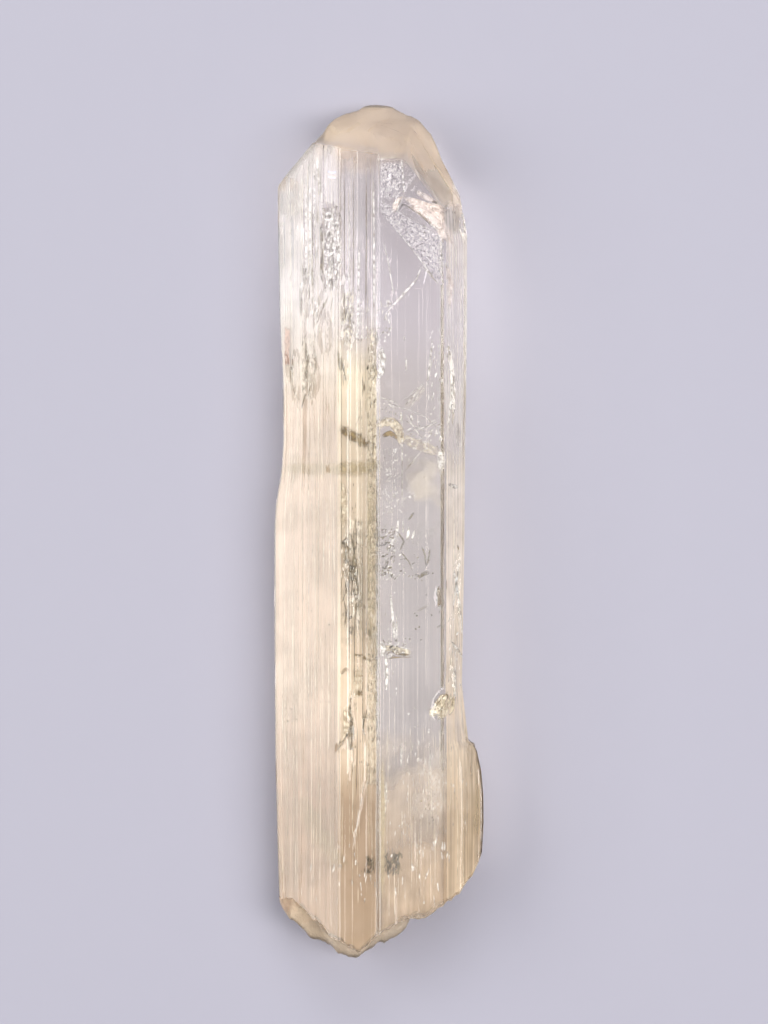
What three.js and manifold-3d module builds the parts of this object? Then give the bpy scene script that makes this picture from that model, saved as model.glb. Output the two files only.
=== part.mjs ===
import * as THREE from "three";
import { mergeVertices } from "three/addons/utils/BufferGeometryUtils.js";
import Module from "manifold-3d";

// A gem crystal of triphane, the pale yellow variety of spodumene: one flattened, striated prism
// with a sloping rounded termination, a conchoidal chip beside it and a broken foot.
// It lies on its broad back face. X runs across the crystal, +Y along it towards the termination,
// and +Z up from the surface that it rests on. The origin is under the middle of its box.

// Driving dimensions, in millimetres
const crystalLength = 91.8;
const crystalThickness = 10.6;
const bodyLeft = -10.3;
const bodyRight = 9.25;
const footLeft = -11.15;
const footRight = 11.15;
const windowLeft = 0.05;
const windowRight = 6.9;
const stripLeft = -4.05;
const backLeft = -6.6;
const backRight = 6.5;
const striationDepth = 0.2;
const bevelStriation = 0.16;
const sideStriation = 0.12;
const backStriation = 0.14;
const grooveHalfWidth = 0.12;
const sideMargin = 0.3;
const frontFall = 0.25;
const frostDepth = 0.16;
const cutterMargin = 3;
const overlap = 0.4;

const halfLength = crystalLength / 2;
const colours = { crystal: 0xe9dfc0 };

const wasm = await Module();
wasm.setup();

// Turns a closed three.js geometry into a solid that can be joined and cut.
function solidOf(geometry) {
  const bare = geometry.clone();
  bare.deleteAttribute("normal");
  bare.deleteAttribute("uv");
  const merged = mergeVertices(bare, 1e-4);
  return new wasm.Manifold(
    new wasm.Mesh({
      numProp: 3,
      vertProperties: new Float32Array(merged.attributes.position.array),
      triVerts: new Uint32Array(merged.index.array),
    }),
  );
}

// Turns a finished solid back into a three.js geometry.
function geometryOf(solid) {
  const mesh = solid.getMesh();
  const geometry = new THREE.BufferGeometry();
  geometry.setAttribute("position", new THREE.BufferAttribute(new Float32Array(mesh.vertProperties), 3));
  geometry.setIndex(new THREE.BufferAttribute(new Uint32Array(mesh.triVerts), 1));
  geometry.computeVertexNormals();
  return geometry;
}

function shapeFrom(points) {
  return new THREE.Shape(points.map(([x, y]) => new THREE.Vector2(x, y)));
}

// Extrudes a section drawn in x and z along the crystal, from one level of y to another.
function prismAlong(points, fromY, toY) {
  const prism = new THREE.ExtrudeGeometry(shapeFrom(points), { depth: toY - fromY, bevelEnabled: false });
  prism.rotateX(Math.PI / 2);
  prism.translate(0, toY, 0);
  return solidOf(prism);
}

// Extrudes an outline drawn in x and y upwards, from one level of z to another.
function prismUp(points, fromZ, toZ) {
  const prism = new THREE.ExtrudeGeometry(shapeFrom(points), { depth: toZ - fromZ, bevelEnabled: false });
  prism.translate(0, 0, fromZ);
  return solidOf(prism);
}

// Everything on the outer side of a plane, as a block to cut away.
function beyondPlane(point, normal) {
  const blockSize = 30;
  const block = new THREE.BoxGeometry(blockSize, blockSize, blockSize);
  block.translate(0, 0, blockSize / 2);
  const turn = new THREE.Quaternion().setFromUnitVectors(
    new THREE.Vector3(0, 0, 1),
    new THREE.Vector3(...normal).normalize(),
  );
  block.applyQuaternion(turn);
  block.translate(...point);
  return solidOf(block);
}

// An ellipsoid that leaves a shell-shaped scoop where it cuts.
const scoopSegments = [28, 18];
function scoop(centre, radii, turnZ) {
  const ball = new THREE.SphereGeometry(1, ...scoopSegments);
  ball.scale(...radii);
  ball.rotateZ(turnZ);
  ball.translate(...centre);
  return solidOf(ball);
}

// Points along a smooth curve through a few named places.
function smooth(points, steps) {
  const curve = new THREE.SplineCurve(points.map(([x, y]) => new THREE.Vector2(x, y)));
  return curve.getPoints(steps).map((p) => [p.x, p.y]);
}

// A facet from one corner of the section to the next, broken by V grooves of uneven pitch and depth.
// The first point is kept and the last is left to the next facet.
const grooveShare = 0.72;
const meanDepthShare = 0.55;
const depthSwing = 0.45;
const depthTurn = 2.4;
function striatedFacet(from, to, pitches, depth) {
  const along = new THREE.Vector2(to[0] - from[0], to[1] - from[1]);
  const facetWidth = along.length();
  along.normalize();
  const inward = new THREE.Vector2(along.y, -along.x);
  const place = (distance, sunk) => [
    from[0] + along.x * distance + inward.x * sunk,
    from[1] + along.y * distance + inward.y * sunk,
  ];
  const points = [from];
  let start = 0;
  for (let i = 0; start + pitches[i % pitches.length] < facetWidth - grooveHalfWidth; i++) {
    const pitch = pitches[i % pitches.length];
    const grooveAt = start + pitch * grooveShare;
    points.push(place(grooveAt - grooveHalfWidth, 0));
    points.push(place(grooveAt, depth * (meanDepthShare + depthSwing * Math.cos(i * depthTurn))));
    start += pitch;
    points.push(place(start, 0));
  }
  return points;
}

// Corners of the section in x and z, in order round the front, the right side, the back and the left.
const leftEdgeFront = [footLeft - sideMargin, 5.5];
const stripFoot = [stripLeft, 8.75];
const stripTop = [stripLeft, 8.95];
const windowFoot = [windowLeft, 10.05];
const windowEdge = [windowLeft, crystalThickness];
const windowEnd = [windowRight, crystalThickness - frontFall];
const bevelEnd = [bodyRight + 0.35, 7.3];
const rightSideFoot = [bodyRight + 0.35, 2.9];
const backRightEdge = [backRight, 0];
const backLeftEdge = [backLeft, 0];
const leftEdgeBack = [footLeft - sideMargin, 3.6];

const leftPitches = [0.75, 0.45, 0.95, 0.55, 0.4, 0.8];
const stripPitches = [0.86, 1.49, 1.2];
const bevelPitches = [1.1, 0.6, 0.9];
const sidePitches = [1.4, 0.9];
const backPitches = [1.1, 0.7, 1.6, 0.8];
const restBandLeft = -2.6;
const restBandRight = 2.8;

function bodySection() {
  return [
    ...striatedFacet(leftEdgeFront, stripFoot, leftPitches, striationDepth),
    stripFoot,
    ...striatedFacet(stripTop, windowFoot, stripPitches, striationDepth),
    windowFoot,
    windowEdge,
    ...striatedFacet(windowEnd, bevelEnd, bevelPitches, bevelStriation),
    ...striatedFacet(bevelEnd, rightSideFoot, sidePitches, sideStriation),
    ...striatedFacet(rightSideFoot, backRightEdge, bevelPitches, striationDepth),
    ...striatedFacet(backRightEdge, [restBandRight, 0], backPitches, backStriation),
    [restBandRight, 0],
    ...striatedFacet([restBandLeft, 0], backLeftEdge, backPitches, backStriation),
    ...striatedFacet(backLeftEdge, leftEdgeBack, leftPitches, striationDepth),
    leftEdgeBack,
  ].reverse();
}

// The ledge that widens the crystal on the right near its foot. Its root is buried in the body.
const ledgeTopY = -22.4;
const ledgeFront = 7.9;
const ledgeBack = 1.3;
const ledgeRoot = bodyRight - 2.6;
const ledgeFrontStart = [bodyRight - 0.3, ledgeFront];
const ledgeFrontEdge = [footRight + sideMargin, 6.5];
const ledgeBackEdge = [footRight + sideMargin, 3.0];
const ledgeBackStart = [bodyRight - 1.4, ledgeBack];
function ledgeSection() {
  return [
    [ledgeRoot, ledgeFront],
    ...striatedFacet(ledgeFrontStart, ledgeFrontEdge, bevelPitches, striationDepth),
    ledgeFrontEdge,
    ...striatedFacet(ledgeBackEdge, ledgeBackStart, bevelPitches, striationDepth),
    [ledgeRoot, ledgeBack],
  ].reverse();
}

// The outline seen from the front, clockwise from the left shoulder of the termination.
const shoulder = [-10.6, 36.7];
const leftNotch = [-5.72, 42.6];
const summit = [0.3, halfLength];
const chipNotch = [8.83, 34.1];
const footTip = [-2.4, -halfLength];
const leftShoulder = [shoulder, [-8.95, 39], [-7.3, 41], leftNotch];
const crestPlaces = [
  [-5.75, 42.9], [-3.9, 44.75], [-2.35, 45.15], summit, [2.5, 44.9], [4.7, 43.8], [6.1, 41.7], [7.1, 39.2],
];
const rightShoulderPlaces = [[7.1, 39.2], [8.1, 37.4], [8.85, 35.6], chipNotch];
const rightSide = [
  [9.15, 33.3], [9.4, 31.4], [9.4, 21.5], [9.2, 8.4], [9.12, -1], [8.85, -16.3], [9.4, -20.4],
];
const ledgePlaces = [[9.55, ledgeTopY], [10.5, -23.2], [11.05, -27.5], [footRight, -31], [10.95, -34.4]];
const chippedCornerPlaces = [[10.95, -34.4], [9.9, -36.8], [8.6, -38.5], [7.1, -39.6], [5.1, -40.8]];
const brokenFoot = [
  [4.15, -41.0], [3.1, -42.9], [1.5, -43.8], [0.4, -43.6], [-0.3, -44.7], [-1.4, -45.2], footTip,
  [-4.4, -45.4], [-5.3, -44.5], [-7.2, -44.0], [-8.3, -42.6], [-9.7, -41.9], [-10.6, -40.0],
];
const leftSide = [[-10.75, -36], [-11.05, -24], [footLeft, -6], [footLeft, 0.5]];
const leftStepPlaces = [[-11.05, 2.8], [-10.85, 4.4], [bodyLeft, 7.2], [-10.2, 9.5], [-10.25, 17]];
const upperLeft = [[-10.55, 22], [-10.75, 31], [-10.82, 35.6]];
function frontOutline() {
  return [
    ...leftShoulder,
    ...smooth(crestPlaces, 21),
    ...smooth(rightShoulderPlaces, 6).slice(1),
    ...rightSide,
    ...smooth(ledgePlaces, 10),
    ...smooth(chippedCornerPlaces, 8).slice(1),
    ...brokenFoot,
    ...leftSide,
    ...smooth(leftStepPlaces, 10),
    ...upperLeft,
  ].reverse();
}

// Height of the front surface above the rest plane at a place across the crystal.
function frontHeight(x) {
  const corners = [leftEdgeFront, stripFoot, windowFoot, windowEdge, windowEnd, bevelEnd];
  for (let i = 0; i + 1 < corners.length; i++) {
    const [x0, z0] = corners[i];
    const [x1, z1] = corners[i + 1];
    if (x >= x0 && x < x1) return z0 + ((x - x0) / (x1 - x0)) * (z1 - z0);
  }
  return corners[corners.length - 1][1];
}

// Slope of the front surface there, as the angle that a pit's floor leans by.
function frontLean(x) {
  const step = 0.05;
  return Math.atan2(frontHeight(x + step) - frontHeight(x - step), 2 * step);
}

// A natural etch pit: a long lozenge with one blunt end, sunk square to the face that it lies on.
// Its corners are shares of its width and length.
const pitCorners = [
  [-0.5, -0.36], [-0.15, -0.5], [0.3, -0.42], [0.5, -0.2],
  [0.5, 0.3], [0.25, 0.5], [-0.2, 0.42], [-0.5, 0.18],
];
function etchPit({ x, y, wide, long, deep }) {
  const outline = shapeFrom(pitCorners.map(([across, along]) => [across * wide, along * long]));
  const pit = new THREE.ExtrudeGeometry(outline, { depth: deep + cutterMargin, bevelEnabled: false });
  pit.translate(0, 0, -deep);
  pit.rotateY(-frontLean(x));
  pit.translate(x, y, frontHeight(x));
  return solidOf(pit);
}

// A growth lamella that stands proud of the front as a long blade with slanting ends.
const lamellaSlant = 1.6;
function lamella({ x, fromY, toY, wide, proud }) {
  const slant = wide * lamellaSlant;
  const half = wide / 2;
  const outline = shapeFrom([[-half, fromY], [half, fromY + slant], [half, toY], [-half, toY - slant]]);
  const blade = new THREE.ExtrudeGeometry(outline, { depth: proud + overlap, bevelEnabled: false });
  blade.translate(0, 0, -overlap);
  blade.rotateY(-frontLean(x));
  blade.translate(x, 0, frontHeight(x));
  return solidOf(blade);
}

const etchPits = [
  { x: -5.4, y: 30.3, wide: 2.0, long: 9.2, deep: 0.45 },
  { x: -7.9, y: 24.9, wide: 0.9, long: 3.9, deep: 0.3 },
  { x: -8.6, y: 16.9, wide: 1.3, long: 6.2, deep: 0.3 },
  { x: -7.0, y: 15.6, wide: 1.1, long: 5.0, deep: 0.35 },
  { x: -5.6, y: 21.6, wide: 0.9, long: 4.4, deep: 0.3 },
  { x: -3.6, y: 21.2, wide: 0.9, long: 3.4, deep: 0.35 },
  { x: -3.5, y: 16.4, wide: 0.7, long: 3.2, deep: 0.35 },
  { x: -0.5, y: 18.8, wide: 0.8, long: 4.8, deep: 0.3 },
  { x: -2.4, y: -2.8, wide: 1.0, long: 4.6, deep: 0.3 },
  { x: -3.5, y: -4.2, wide: 0.8, long: 3.6, deep: 0.35 },
  { x: -1.4, y: -10.2, wide: 0.8, long: 3.4, deep: 0.3 },
  { x: -3.0, y: -20.6, wide: 1.2, long: 4.6, deep: 0.35 },
  { x: 0.9, y: -1.4, wide: 0.9, long: 2.4, deep: 0.2 },
  { x: 2.6, y: -13.0, wide: 2.0, long: 1.2, deep: 0.2 },
  { x: 7.6, y: 13.6, wide: 0.9, long: 7.2, deep: 0.3 },
  { x: 8.0, y: -6.5, wide: 0.8, long: 8.4, deep: 0.35 },
  { x: 6.4, y: -18.2, wide: 1.6, long: 2.8, deep: 0.35 },
];

const lamellae = [
  { x: -6.6, fromY: 31.0, toY: 40.6, wide: 0.5, proud: 0.18 },
  { x: -9.3, fromY: -30.0, toY: 20.0, wide: 0.7, proud: 0.14 },
  { x: -7.2, fromY: -38.0, toY: 10.0, wide: 0.6, proud: 0.16 },
  { x: -4.7, fromY: -36.0, toY: 24.0, wide: 0.5, proud: 0.2 },
  { x: -2.0, fromY: -26.0, toY: 24.0, wide: 0.6, proud: 0.16 },
  { x: -0.9, fromY: -40.0, toY: -17.0, wide: 0.6, proud: 0.16 },
  { x: 3.0, fromY: -40.0, toY: -27.5, wide: 0.7, proud: 0.14 },
  { x: 5.4, fromY: -40.0, toY: -24.5, wide: 0.6, proud: 0.16 },
];

// The sloping termination: a gently domed surface that leans back from the front face to the summit.
const domeRadius = 42;
const domeCentre = [0.6, 9.3, -18.4];
const domeFromY = 34;
const domeSegments = [96, 64];
function aboveDome() {
  const ball = new THREE.SphereGeometry(domeRadius, ...domeSegments);
  ball.translate(...domeCentre);
  const blockSize = 40;
  const capBlock = new THREE.BoxGeometry(blockSize, blockSize, blockSize);
  capBlock.translate(0, domeFromY + blockSize / 2, crystalThickness / 2);
  return solidOf(capBlock).subtract(solidOf(ball));
}

// Smaller faces of the termination: the right shoulder, the underside of the summit and the left shoulder.
const terminationPlanes = [
  { point: [4.4, 37.2, 10.4], normal: [0.66, 0.5, 0.56] },
  { point: [0, halfLength, 2.0], normal: [0, 0.75, -0.66] },
  { point: [-9.0, 38.6, 2.4], normal: [-0.5, 0.45, -0.74] },
];

// The frosted corner of the window stands a hair lower than the clear part, along a slanting line.
const frostLineLeft = [windowLeft, 33.8];
const frostLineRight = [windowRight, 26.2];
function frostedCorner() {
  const beyond = halfLength + cutterMargin;
  const outline = [frostLineLeft, frostLineRight, [windowRight, beyond], [windowLeft, beyond]];
  return prismUp(outline, crystalThickness - frontFall - frostDepth, crystalThickness + cutterMargin);
}

// The shell-like chip on the right shoulder: overlapping scoops that run out to the left in a beak.
const chipScoops = [
  { centre: [9.9, 34.3, 11.2], radii: [3.6, 3.3, 3.4], turn: -0.5 },
  { centre: [6.3, 34.2, 11.9], radii: [4.1, 1.3, 2.3], turn: -0.6 },
  { centre: [8.0, 32.6, 11.6], radii: [2.4, 1.6, 2.1], turn: -0.7 },
  { centre: [10.2, 36.9, 7.5], radii: [1.9, 2.9, 2.7], turn: 0.12 },
];

// What broke away at the foot: a slab off the front, and shell-like bites at several depths.
const footSlabBack = 5.4;
const footSlabEdge = [
  [-12, -38.6], [-9.6, -40.6], [-8.5, -41.2], [-6.6, -41.4], [-4.2, -42.9], [-2.6, -42.5], [-0.7, -43.1],
  [0.5, -41.9], [2.3, -41.3], [3.6, -40.2], [6, -40.3], [8.2, -38.7], [12, -36],
];
const footScoops = [
  { centre: [-8.4, -43.6, 9.5], radii: [3.4, 2.6, 3.2], turn: 0.3 },
  { centre: [-3.9, -46.4, 5.6], radii: [3.6, 2.2, 2.9], turn: 0.15 },
  { centre: [2.6, -44.6, 4.4], radii: [2.8, 2.4, 2.4], turn: -0.3 },
  { centre: [7.6, -42.6, 2.4], radii: [4.0, 3.2, 3.0], turn: 0.6 },
  { centre: [10.6, -38.6, 8.8], radii: [3.2, 2.8, 3.2], turn: 0.7 },
  { centre: [-7.6, -46.2, 0.4], radii: [4.0, 3.0, 2.8], turn: -0.2 },
  { centre: [-1.2, -44.1, 10.2], radii: [2.6, 1.9, 2.2], turn: 0.4 },
  { centre: [4.9, -42.0, 10.6], radii: [2.4, 1.7, 1.9], turn: -0.2 },
];

function brokenAway() {
  const below = -halfLength - cutterMargin;
  const slab = prismUp(
    [...footSlabEdge, [12, below], [-12, below]],
    footSlabBack,
    crystalThickness + cutterMargin,
  );
  return [...chipScoops, ...footScoops].reduce(
    (joined, { centre, radii, turn }) => joined.add(scoop(centre, radii, turn)),
    slab,
  );
}

function buildCrystal() {
  const body = prismAlong(bodySection(), -halfLength - cutterMargin, halfLength + cutterMargin);
  const ledge = prismAlong(ledgeSection(), -halfLength - cutterMargin, ledgeTopY + overlap);
  let crystal = body.add(ledge);
  for (const place of lamellae) crystal = crystal.add(lamella(place));
  crystal = crystal.intersect(prismUp(frontOutline(), -cutterMargin, crystalThickness + cutterMargin));
  crystal = crystal.subtract(frostedCorner());
  crystal = crystal.subtract(aboveDome());
  for (const { point, normal } of terminationPlanes) crystal = crystal.subtract(beyondPlane(point, normal));
  for (const place of etchPits) crystal = crystal.subtract(etchPit(place));
  crystal = crystal.subtract(brokenAway());
  const bodies = crystal.decompose();
  return bodies.reduce((largest, next) => (next.volume() > largest.volume() ? next : largest));
}

const part = new THREE.Group();
part.name = "triphane_spodumene";

const paleYellowGem = new THREE.MeshStandardMaterial({
  color: colours.crystal,
  roughness: 0.18,
  metalness: 0,
  transparent: true,
  opacity: 0.7,
});
const crystalMesh = new THREE.Mesh(geometryOf(buildCrystal()), paleYellowGem);
crystalMesh.name = "spodumene_crystal";
part.add(crystalMesh);

export default part;
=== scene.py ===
import math

import bpy
import numpy as np
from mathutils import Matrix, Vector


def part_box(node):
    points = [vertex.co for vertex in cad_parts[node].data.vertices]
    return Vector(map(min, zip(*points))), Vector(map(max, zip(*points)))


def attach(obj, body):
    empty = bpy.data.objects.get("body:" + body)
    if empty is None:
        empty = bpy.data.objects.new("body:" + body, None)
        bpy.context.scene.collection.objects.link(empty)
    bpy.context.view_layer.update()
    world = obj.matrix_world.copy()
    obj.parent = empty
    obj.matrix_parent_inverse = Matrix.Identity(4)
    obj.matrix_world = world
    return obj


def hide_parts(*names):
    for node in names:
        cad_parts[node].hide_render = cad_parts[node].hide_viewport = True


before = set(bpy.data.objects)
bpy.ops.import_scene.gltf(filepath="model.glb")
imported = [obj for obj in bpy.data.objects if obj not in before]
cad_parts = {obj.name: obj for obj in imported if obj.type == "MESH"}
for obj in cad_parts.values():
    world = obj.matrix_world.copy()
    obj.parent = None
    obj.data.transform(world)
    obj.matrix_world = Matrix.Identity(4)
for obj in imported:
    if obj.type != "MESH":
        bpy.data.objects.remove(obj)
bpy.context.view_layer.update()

# Shapes are worked out in millimetres and turned to metres when they go into a mesh.
# X runs across the crystal, +Y towards its termination, +Z up out of its broad front.
mm = 0.001
crystalLow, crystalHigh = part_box("spodumene_crystal")
halfWide = (crystalHigh[0] - crystalLow[0]) / 2 / mm
halfLong = (crystalHigh[1] - crystalLow[1]) / 2 / mm


# Camera and light

photo = {
    "width": 768,
    "height": 1024,
    "pixelSize": 0.107,        # millimetres of crystal to one pixel of the photo
    "middleX": 378.75,         # where the middle of the crystal falls in the photo
    "middleY": 531.0,
}
studio = {
    "cameraHeight": 520.0,     # millimetres above the floor
    "outlineHeight": 4.5,      # the level of the outline, at which the photo's scale holds
    "sensor": 24.0,
    "floorSize": 2400.0,
    "floorGap": 0.05,
    "floorColour": (0.50, 0.485, 0.555),
    "floorGrain": 1.015,       # how much paler its grains are
    "floorRoughness": 0.75,
    "worldColour": (0.80, 0.86, 1.0),
    "worldStrength": 0.26,
}
softLights = [
    # places and sizes in millimetres, powers in watts
    {"name": "leftSoftbox", "at": (-500, 40, 385), "size": (680, 330), "power": 2.5,
     "colour": (1.0, 0.985, 0.965)},
    {"name": "rightSoftbox", "at": (330, -60, 520), "size": (260, 520), "power": 2.4,
     "colour": (1.0, 0.98, 0.97)},
    {"name": "topSoftbox", "at": (60, 460, 420), "size": (420, 220), "power": 1.0,
     "colour": (0.97, 0.98, 1.0)},
    # small and weak: the lower half of the window mirrors it
    {"name": "windowSoftbox", "at": (48, -86, 600), "size": (110, 170), "power": 0.065,
     "colour": (1.0, 0.985, 0.985)},
]


# Where the middle of the picture falls on the crystal, in millimetres.
def viewMiddle():
    middleX = (photo["width"] / 2 - photo["middleX"]) * photo["pixelSize"]
    middleY = (photo["middleY"] - photo["height"] / 2) * photo["pixelSize"]
    return middleX, middleY


def addCamera():
    lens = bpy.data.cameras.new("camera")
    lens.sensor_fit = "VERTICAL"
    lens.sensor_height = studio["sensor"]
    reach = studio["cameraHeight"] - studio["outlineHeight"]
    lens.lens = studio["sensor"] * reach / (photo["height"] * photo["pixelSize"])
    lens.clip_start = 0.01
    middleX, middleY = viewMiddle()
    camera = bpy.data.objects.new("camera", lens)
    camera.location = (middleX * mm, middleY * mm, studio["cameraHeight"] * mm)
    bpy.context.collection.objects.link(camera)
    bpy.context.scene.camera = camera


def addLights():
    for light in softLights:
        lamp = bpy.data.lights.new(light["name"], "AREA")
        lamp.shape = "RECTANGLE"
        lamp.size, lamp.size_y = (side * mm for side in light["size"])
        lamp.energy = light["power"]
        lamp.color = light["colour"]
        holder = bpy.data.objects.new(light["name"], lamp)
        holder.location = [side * mm for side in light["at"]]
        holder.rotation_euler = (-holder.location).to_track_quat("-Z", "Y").to_euler()
        bpy.context.collection.objects.link(holder)
    world = bpy.data.worlds.new("studio")
    world.use_nodes = True
    backdrop = world.node_tree.nodes["Background"]
    backdrop.inputs["Color"].default_value = (*studio["worldColour"], 1)
    backdrop.inputs["Strength"].default_value = studio["worldStrength"]
    bpy.context.scene.world = world
    bpy.context.scene.view_settings.view_transform = "Standard"        # as contrasty as a phone's picture


addCamera()
addLights()
print("camera and lights placed")


# Numbers and meshes

# A repeatable number from 0 to 1 for each whole-number cell: the broken part of a large sine.
def cellNumber(a, b=0.0, seed=0.0):
    turned = np.sin(np.asarray(a) * 127.1 + np.asarray(b) * 311.7 + seed * 74.7) * 43758.5453
    return turned - np.floor(turned)


# A smooth step: 0 below the first edge, 1 above the second, and 3t² - 2t³ between them.
def rise(fromEdge, toEdge, value):
    t = np.clip((value - fromEdge) / (toEdge - fromEdge), 0, 1)
    return t * t * (3 - 2 * t)


# Smooth noise: the numbers of the four cells round a point, blended by the smooth step both ways.
def softNoise(x, y, seed=0.0):
    cellX, cellY = np.floor(x), np.floor(y)
    alongX, alongY = rise(0, 1, x - cellX), rise(0, 1, y - cellY)
    sides = []
    for row in (cellY, cellY + 1):
        left, right = cellNumber(cellX, row, seed), cellNumber(cellX + 1, row, seed)
        sides.append(left + (right - left) * alongX)
    lower, upper = sides
    return lower + (upper - lower) * alongY


# Crackled noise: creases where smooth noise crosses its middle, in two sizes.
def hackle(x, y, seed=0.0):
    coarse = np.abs(softNoise(x, y, seed) - 0.5)
    fine = np.abs(softNoise(x * 2.7, y * 2.7, seed + 5) - 0.5)
    return 2 * coarse + fine


def meshPiece(name, places, faces, material):
    mesh = bpy.data.meshes.new(name)
    mesh.from_pydata((places * mm).tolist(), [], faces)
    mesh.validate()
    mesh.polygons.foreach_set("use_smooth", np.ones(len(mesh.polygons), dtype=bool))
    mesh.materials.append(material)
    mesh.update()
    piece = bpy.data.objects.new(name, mesh)
    bpy.context.collection.objects.link(piece)
    return piece


# Quads between neighbouring rows of a grid whose columns may close on themselves.
def gridQuads(rows, columns, closed, first=0):
    across = columns if closed else columns - 1
    row, column = np.meshgrid(np.arange(rows - 1), np.arange(across), indexing="ij")
    here = first + row * columns + column
    beside = first + row * columns + (column + 1) % columns
    return np.stack([here, beside, beside + columns, here + columns], axis=-1).reshape(-1, 4)


# Nodes

def linked(tree, fromSocket, toSocket):
    tree.links.new(fromSocket, toSocket)


def freshMaterial(name):
    material = bpy.data.materials.new(name)
    material.use_nodes = True
    tree = material.node_tree
    tree.nodes.clear()
    return material, tree


def addNode(tree, kind, label="", **settings):
    node = tree.nodes.new(kind)
    node.label = label
    for key, value in settings.items():
        setattr(node, key, value)
    return node


# A number worked out from one or two sockets or plain numbers.
def reckon(tree, operation, first, second=None, third=None, clamp=False):
    node = addNode(tree, "ShaderNodeMath", operation=operation, use_clamp=clamp)
    for index, value in enumerate((first, second, third)):
        if value is None:
            continue
        if isinstance(value, (int, float)):
            node.inputs[index].default_value = value
        else:
            linked(tree, value, node.inputs[index])
    return node.outputs[0]


# The product of sockets and numbers, multiplied in the order given.
def product(tree, first, *others):
    for other in others:
        first = reckon(tree, "MULTIPLY", first, other)
    return first


# A smooth step of a socket between two edges.
def nodeRise(tree, value, fromEdge, toEdge, low=0.0, high=1.0):
    node = addNode(tree, "ShaderNodeMapRange", interpolation_type="SMOOTHSTEP")
    linked(tree, value, node.inputs["Value"])
    for key, number in (("From Min", fromEdge), ("From Max", toEdge), ("To Min", low), ("To Max", high)):
        node.inputs[key].default_value = number
    return node.outputs["Result"]


# A smooth step up between one pair of edges, and down again between another.
def nodeBand(tree, value, up, down):
    return product(tree, nodeRise(tree, value, *up), nodeRise(tree, value, *down))


# How far a socket stands from a half, times a weight, on top of a third value.
def swayed(tree, value, weight, base, clamp=False):
    return reckon(tree, "MULTIPLY_ADD", reckon(tree, "SUBTRACT", value, 0.5), weight, base, clamp=clamp)


def scaledVector(tree, vector, scale):
    node = addNode(tree, "ShaderNodeVectorMath", operation="SCALE")
    linked(tree, vector, node.inputs[0])
    linked(tree, scale, node.inputs["Scale"])
    return node.outputs[0]


def finishMaterial(tree, surface, volume=None):
    output = addNode(tree, "ShaderNodeOutputMaterial")
    linked(tree, surface, output.inputs["Surface"])
    if volume is not None:
        linked(tree, volume, output.inputs["Volume"])


def mixColours(tree, share, first, second):
    node = addNode(tree, "ShaderNodeMix", data_type="RGBA")
    for value, socket in ((share, node.inputs[0]), (first, node.inputs[6]), (second, node.inputs[7])):
        if isinstance(value, (tuple, float, int)):
            socket.default_value = (*value, 1) if isinstance(value, tuple) else value
        else:
            linked(tree, value, socket)
    return node.outputs[2]


def noiseFrom(tree, vector, scale, detail=2.0, roughness=0.5, distortion=0.0):
    node = addNode(tree, "ShaderNodeTexNoise")
    linked(tree, vector, node.inputs["Vector"])
    node.inputs["Scale"].default_value = scale
    node.inputs["Detail"].default_value = detail
    node.inputs["Roughness"].default_value = roughness
    node.inputs["Distortion"].default_value = distortion
    return node.outputs["Fac"]


def newGroup(name, inputs, outputs):
    group = bpy.data.node_groups.new(name, "ShaderNodeTree")
    for kind, socketName, default in inputs:
        socket = group.interface.new_socket(socketName, in_out="INPUT", socket_type=kind)
        if default is not None:
            socket.default_value = default
    for kind, socketName in outputs:
        group.interface.new_socket(socketName, in_out="OUTPUT", socket_type=kind)
    return group, group.nodes.new("NodeGroupInput").outputs, group.nodes.new("NodeGroupOutput").inputs


# Growth streaks: noise drawn out along the crystal, coarse and fine, with a mask and a bump height.
def buildStreakGroup():
    group, given, out = newGroup(
        "growthStreaks",
        [
            ("NodeSocketVector", "Place", None),
            ("NodeSocketFloat", "Across", 900.0),
            ("NodeSocketFloat", "Along", 22.0),
            ("NodeSocketFloat", "Fineness", 3.1),
        ],
        [("NodeSocketFloat", "Mask"), ("NodeSocketFloat", "Height")],
    )
    stretch = addNode(group, "ShaderNodeCombineXYZ", "across, along, across")
    for index, side in enumerate(("Across", "Along", "Across")):
        linked(group, given[side], stretch.inputs[index])
    drawn = addNode(group, "ShaderNodeVectorMath", operation="MULTIPLY")
    linked(group, given["Place"], drawn.inputs[0])
    linked(group, stretch.outputs[0], drawn.inputs[1])
    coarse = noiseFrom(group, drawn.outputs[0], 1.0, 2.0, 0.6)
    fine = noiseFrom(group, scaledVector(group, drawn.outputs[0], given["Fineness"]), 1.0, 1.0, 0.5)
    together = reckon(group, "MULTIPLY_ADD", coarse, 0.5, product(group, fine, 0.5))
    linked(group, nodeRise(group, together, 0.36, 0.64), out["Mask"])
    linked(group, together, out["Height"])
    return group


# Etched grit: small pits and specks, as a bump height.
def buildGritGroup():
    group, given, out = newGroup(
        "etchedGrit",
        [("NodeSocketVector", "Place", None), ("NodeSocketFloat", "Size", 2600.0)],
        [("NodeSocketFloat", "Height")],
    )
    grains = addNode(group, "ShaderNodeTexNoise", "grains")
    linked(group, given["Place"], grains.inputs["Vector"])
    linked(group, given["Size"], grains.inputs["Scale"])
    grains.inputs["Detail"].default_value = 2.0
    grains.inputs["Roughness"].default_value = 0.68
    linked(group, grains.outputs["Fac"], out["Height"])
    return group


streakGroup = buildStreakGroup()
gritGroup = buildGritGroup()


def placeGroup(tree, group, vector, **values):
    node = addNode(tree, "ShaderNodeGroup", node_tree=group)
    linked(tree, vector, node.inputs["Place"])
    for key, value in values.items():
        node.inputs[key].default_value = value
    return node.outputs


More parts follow.
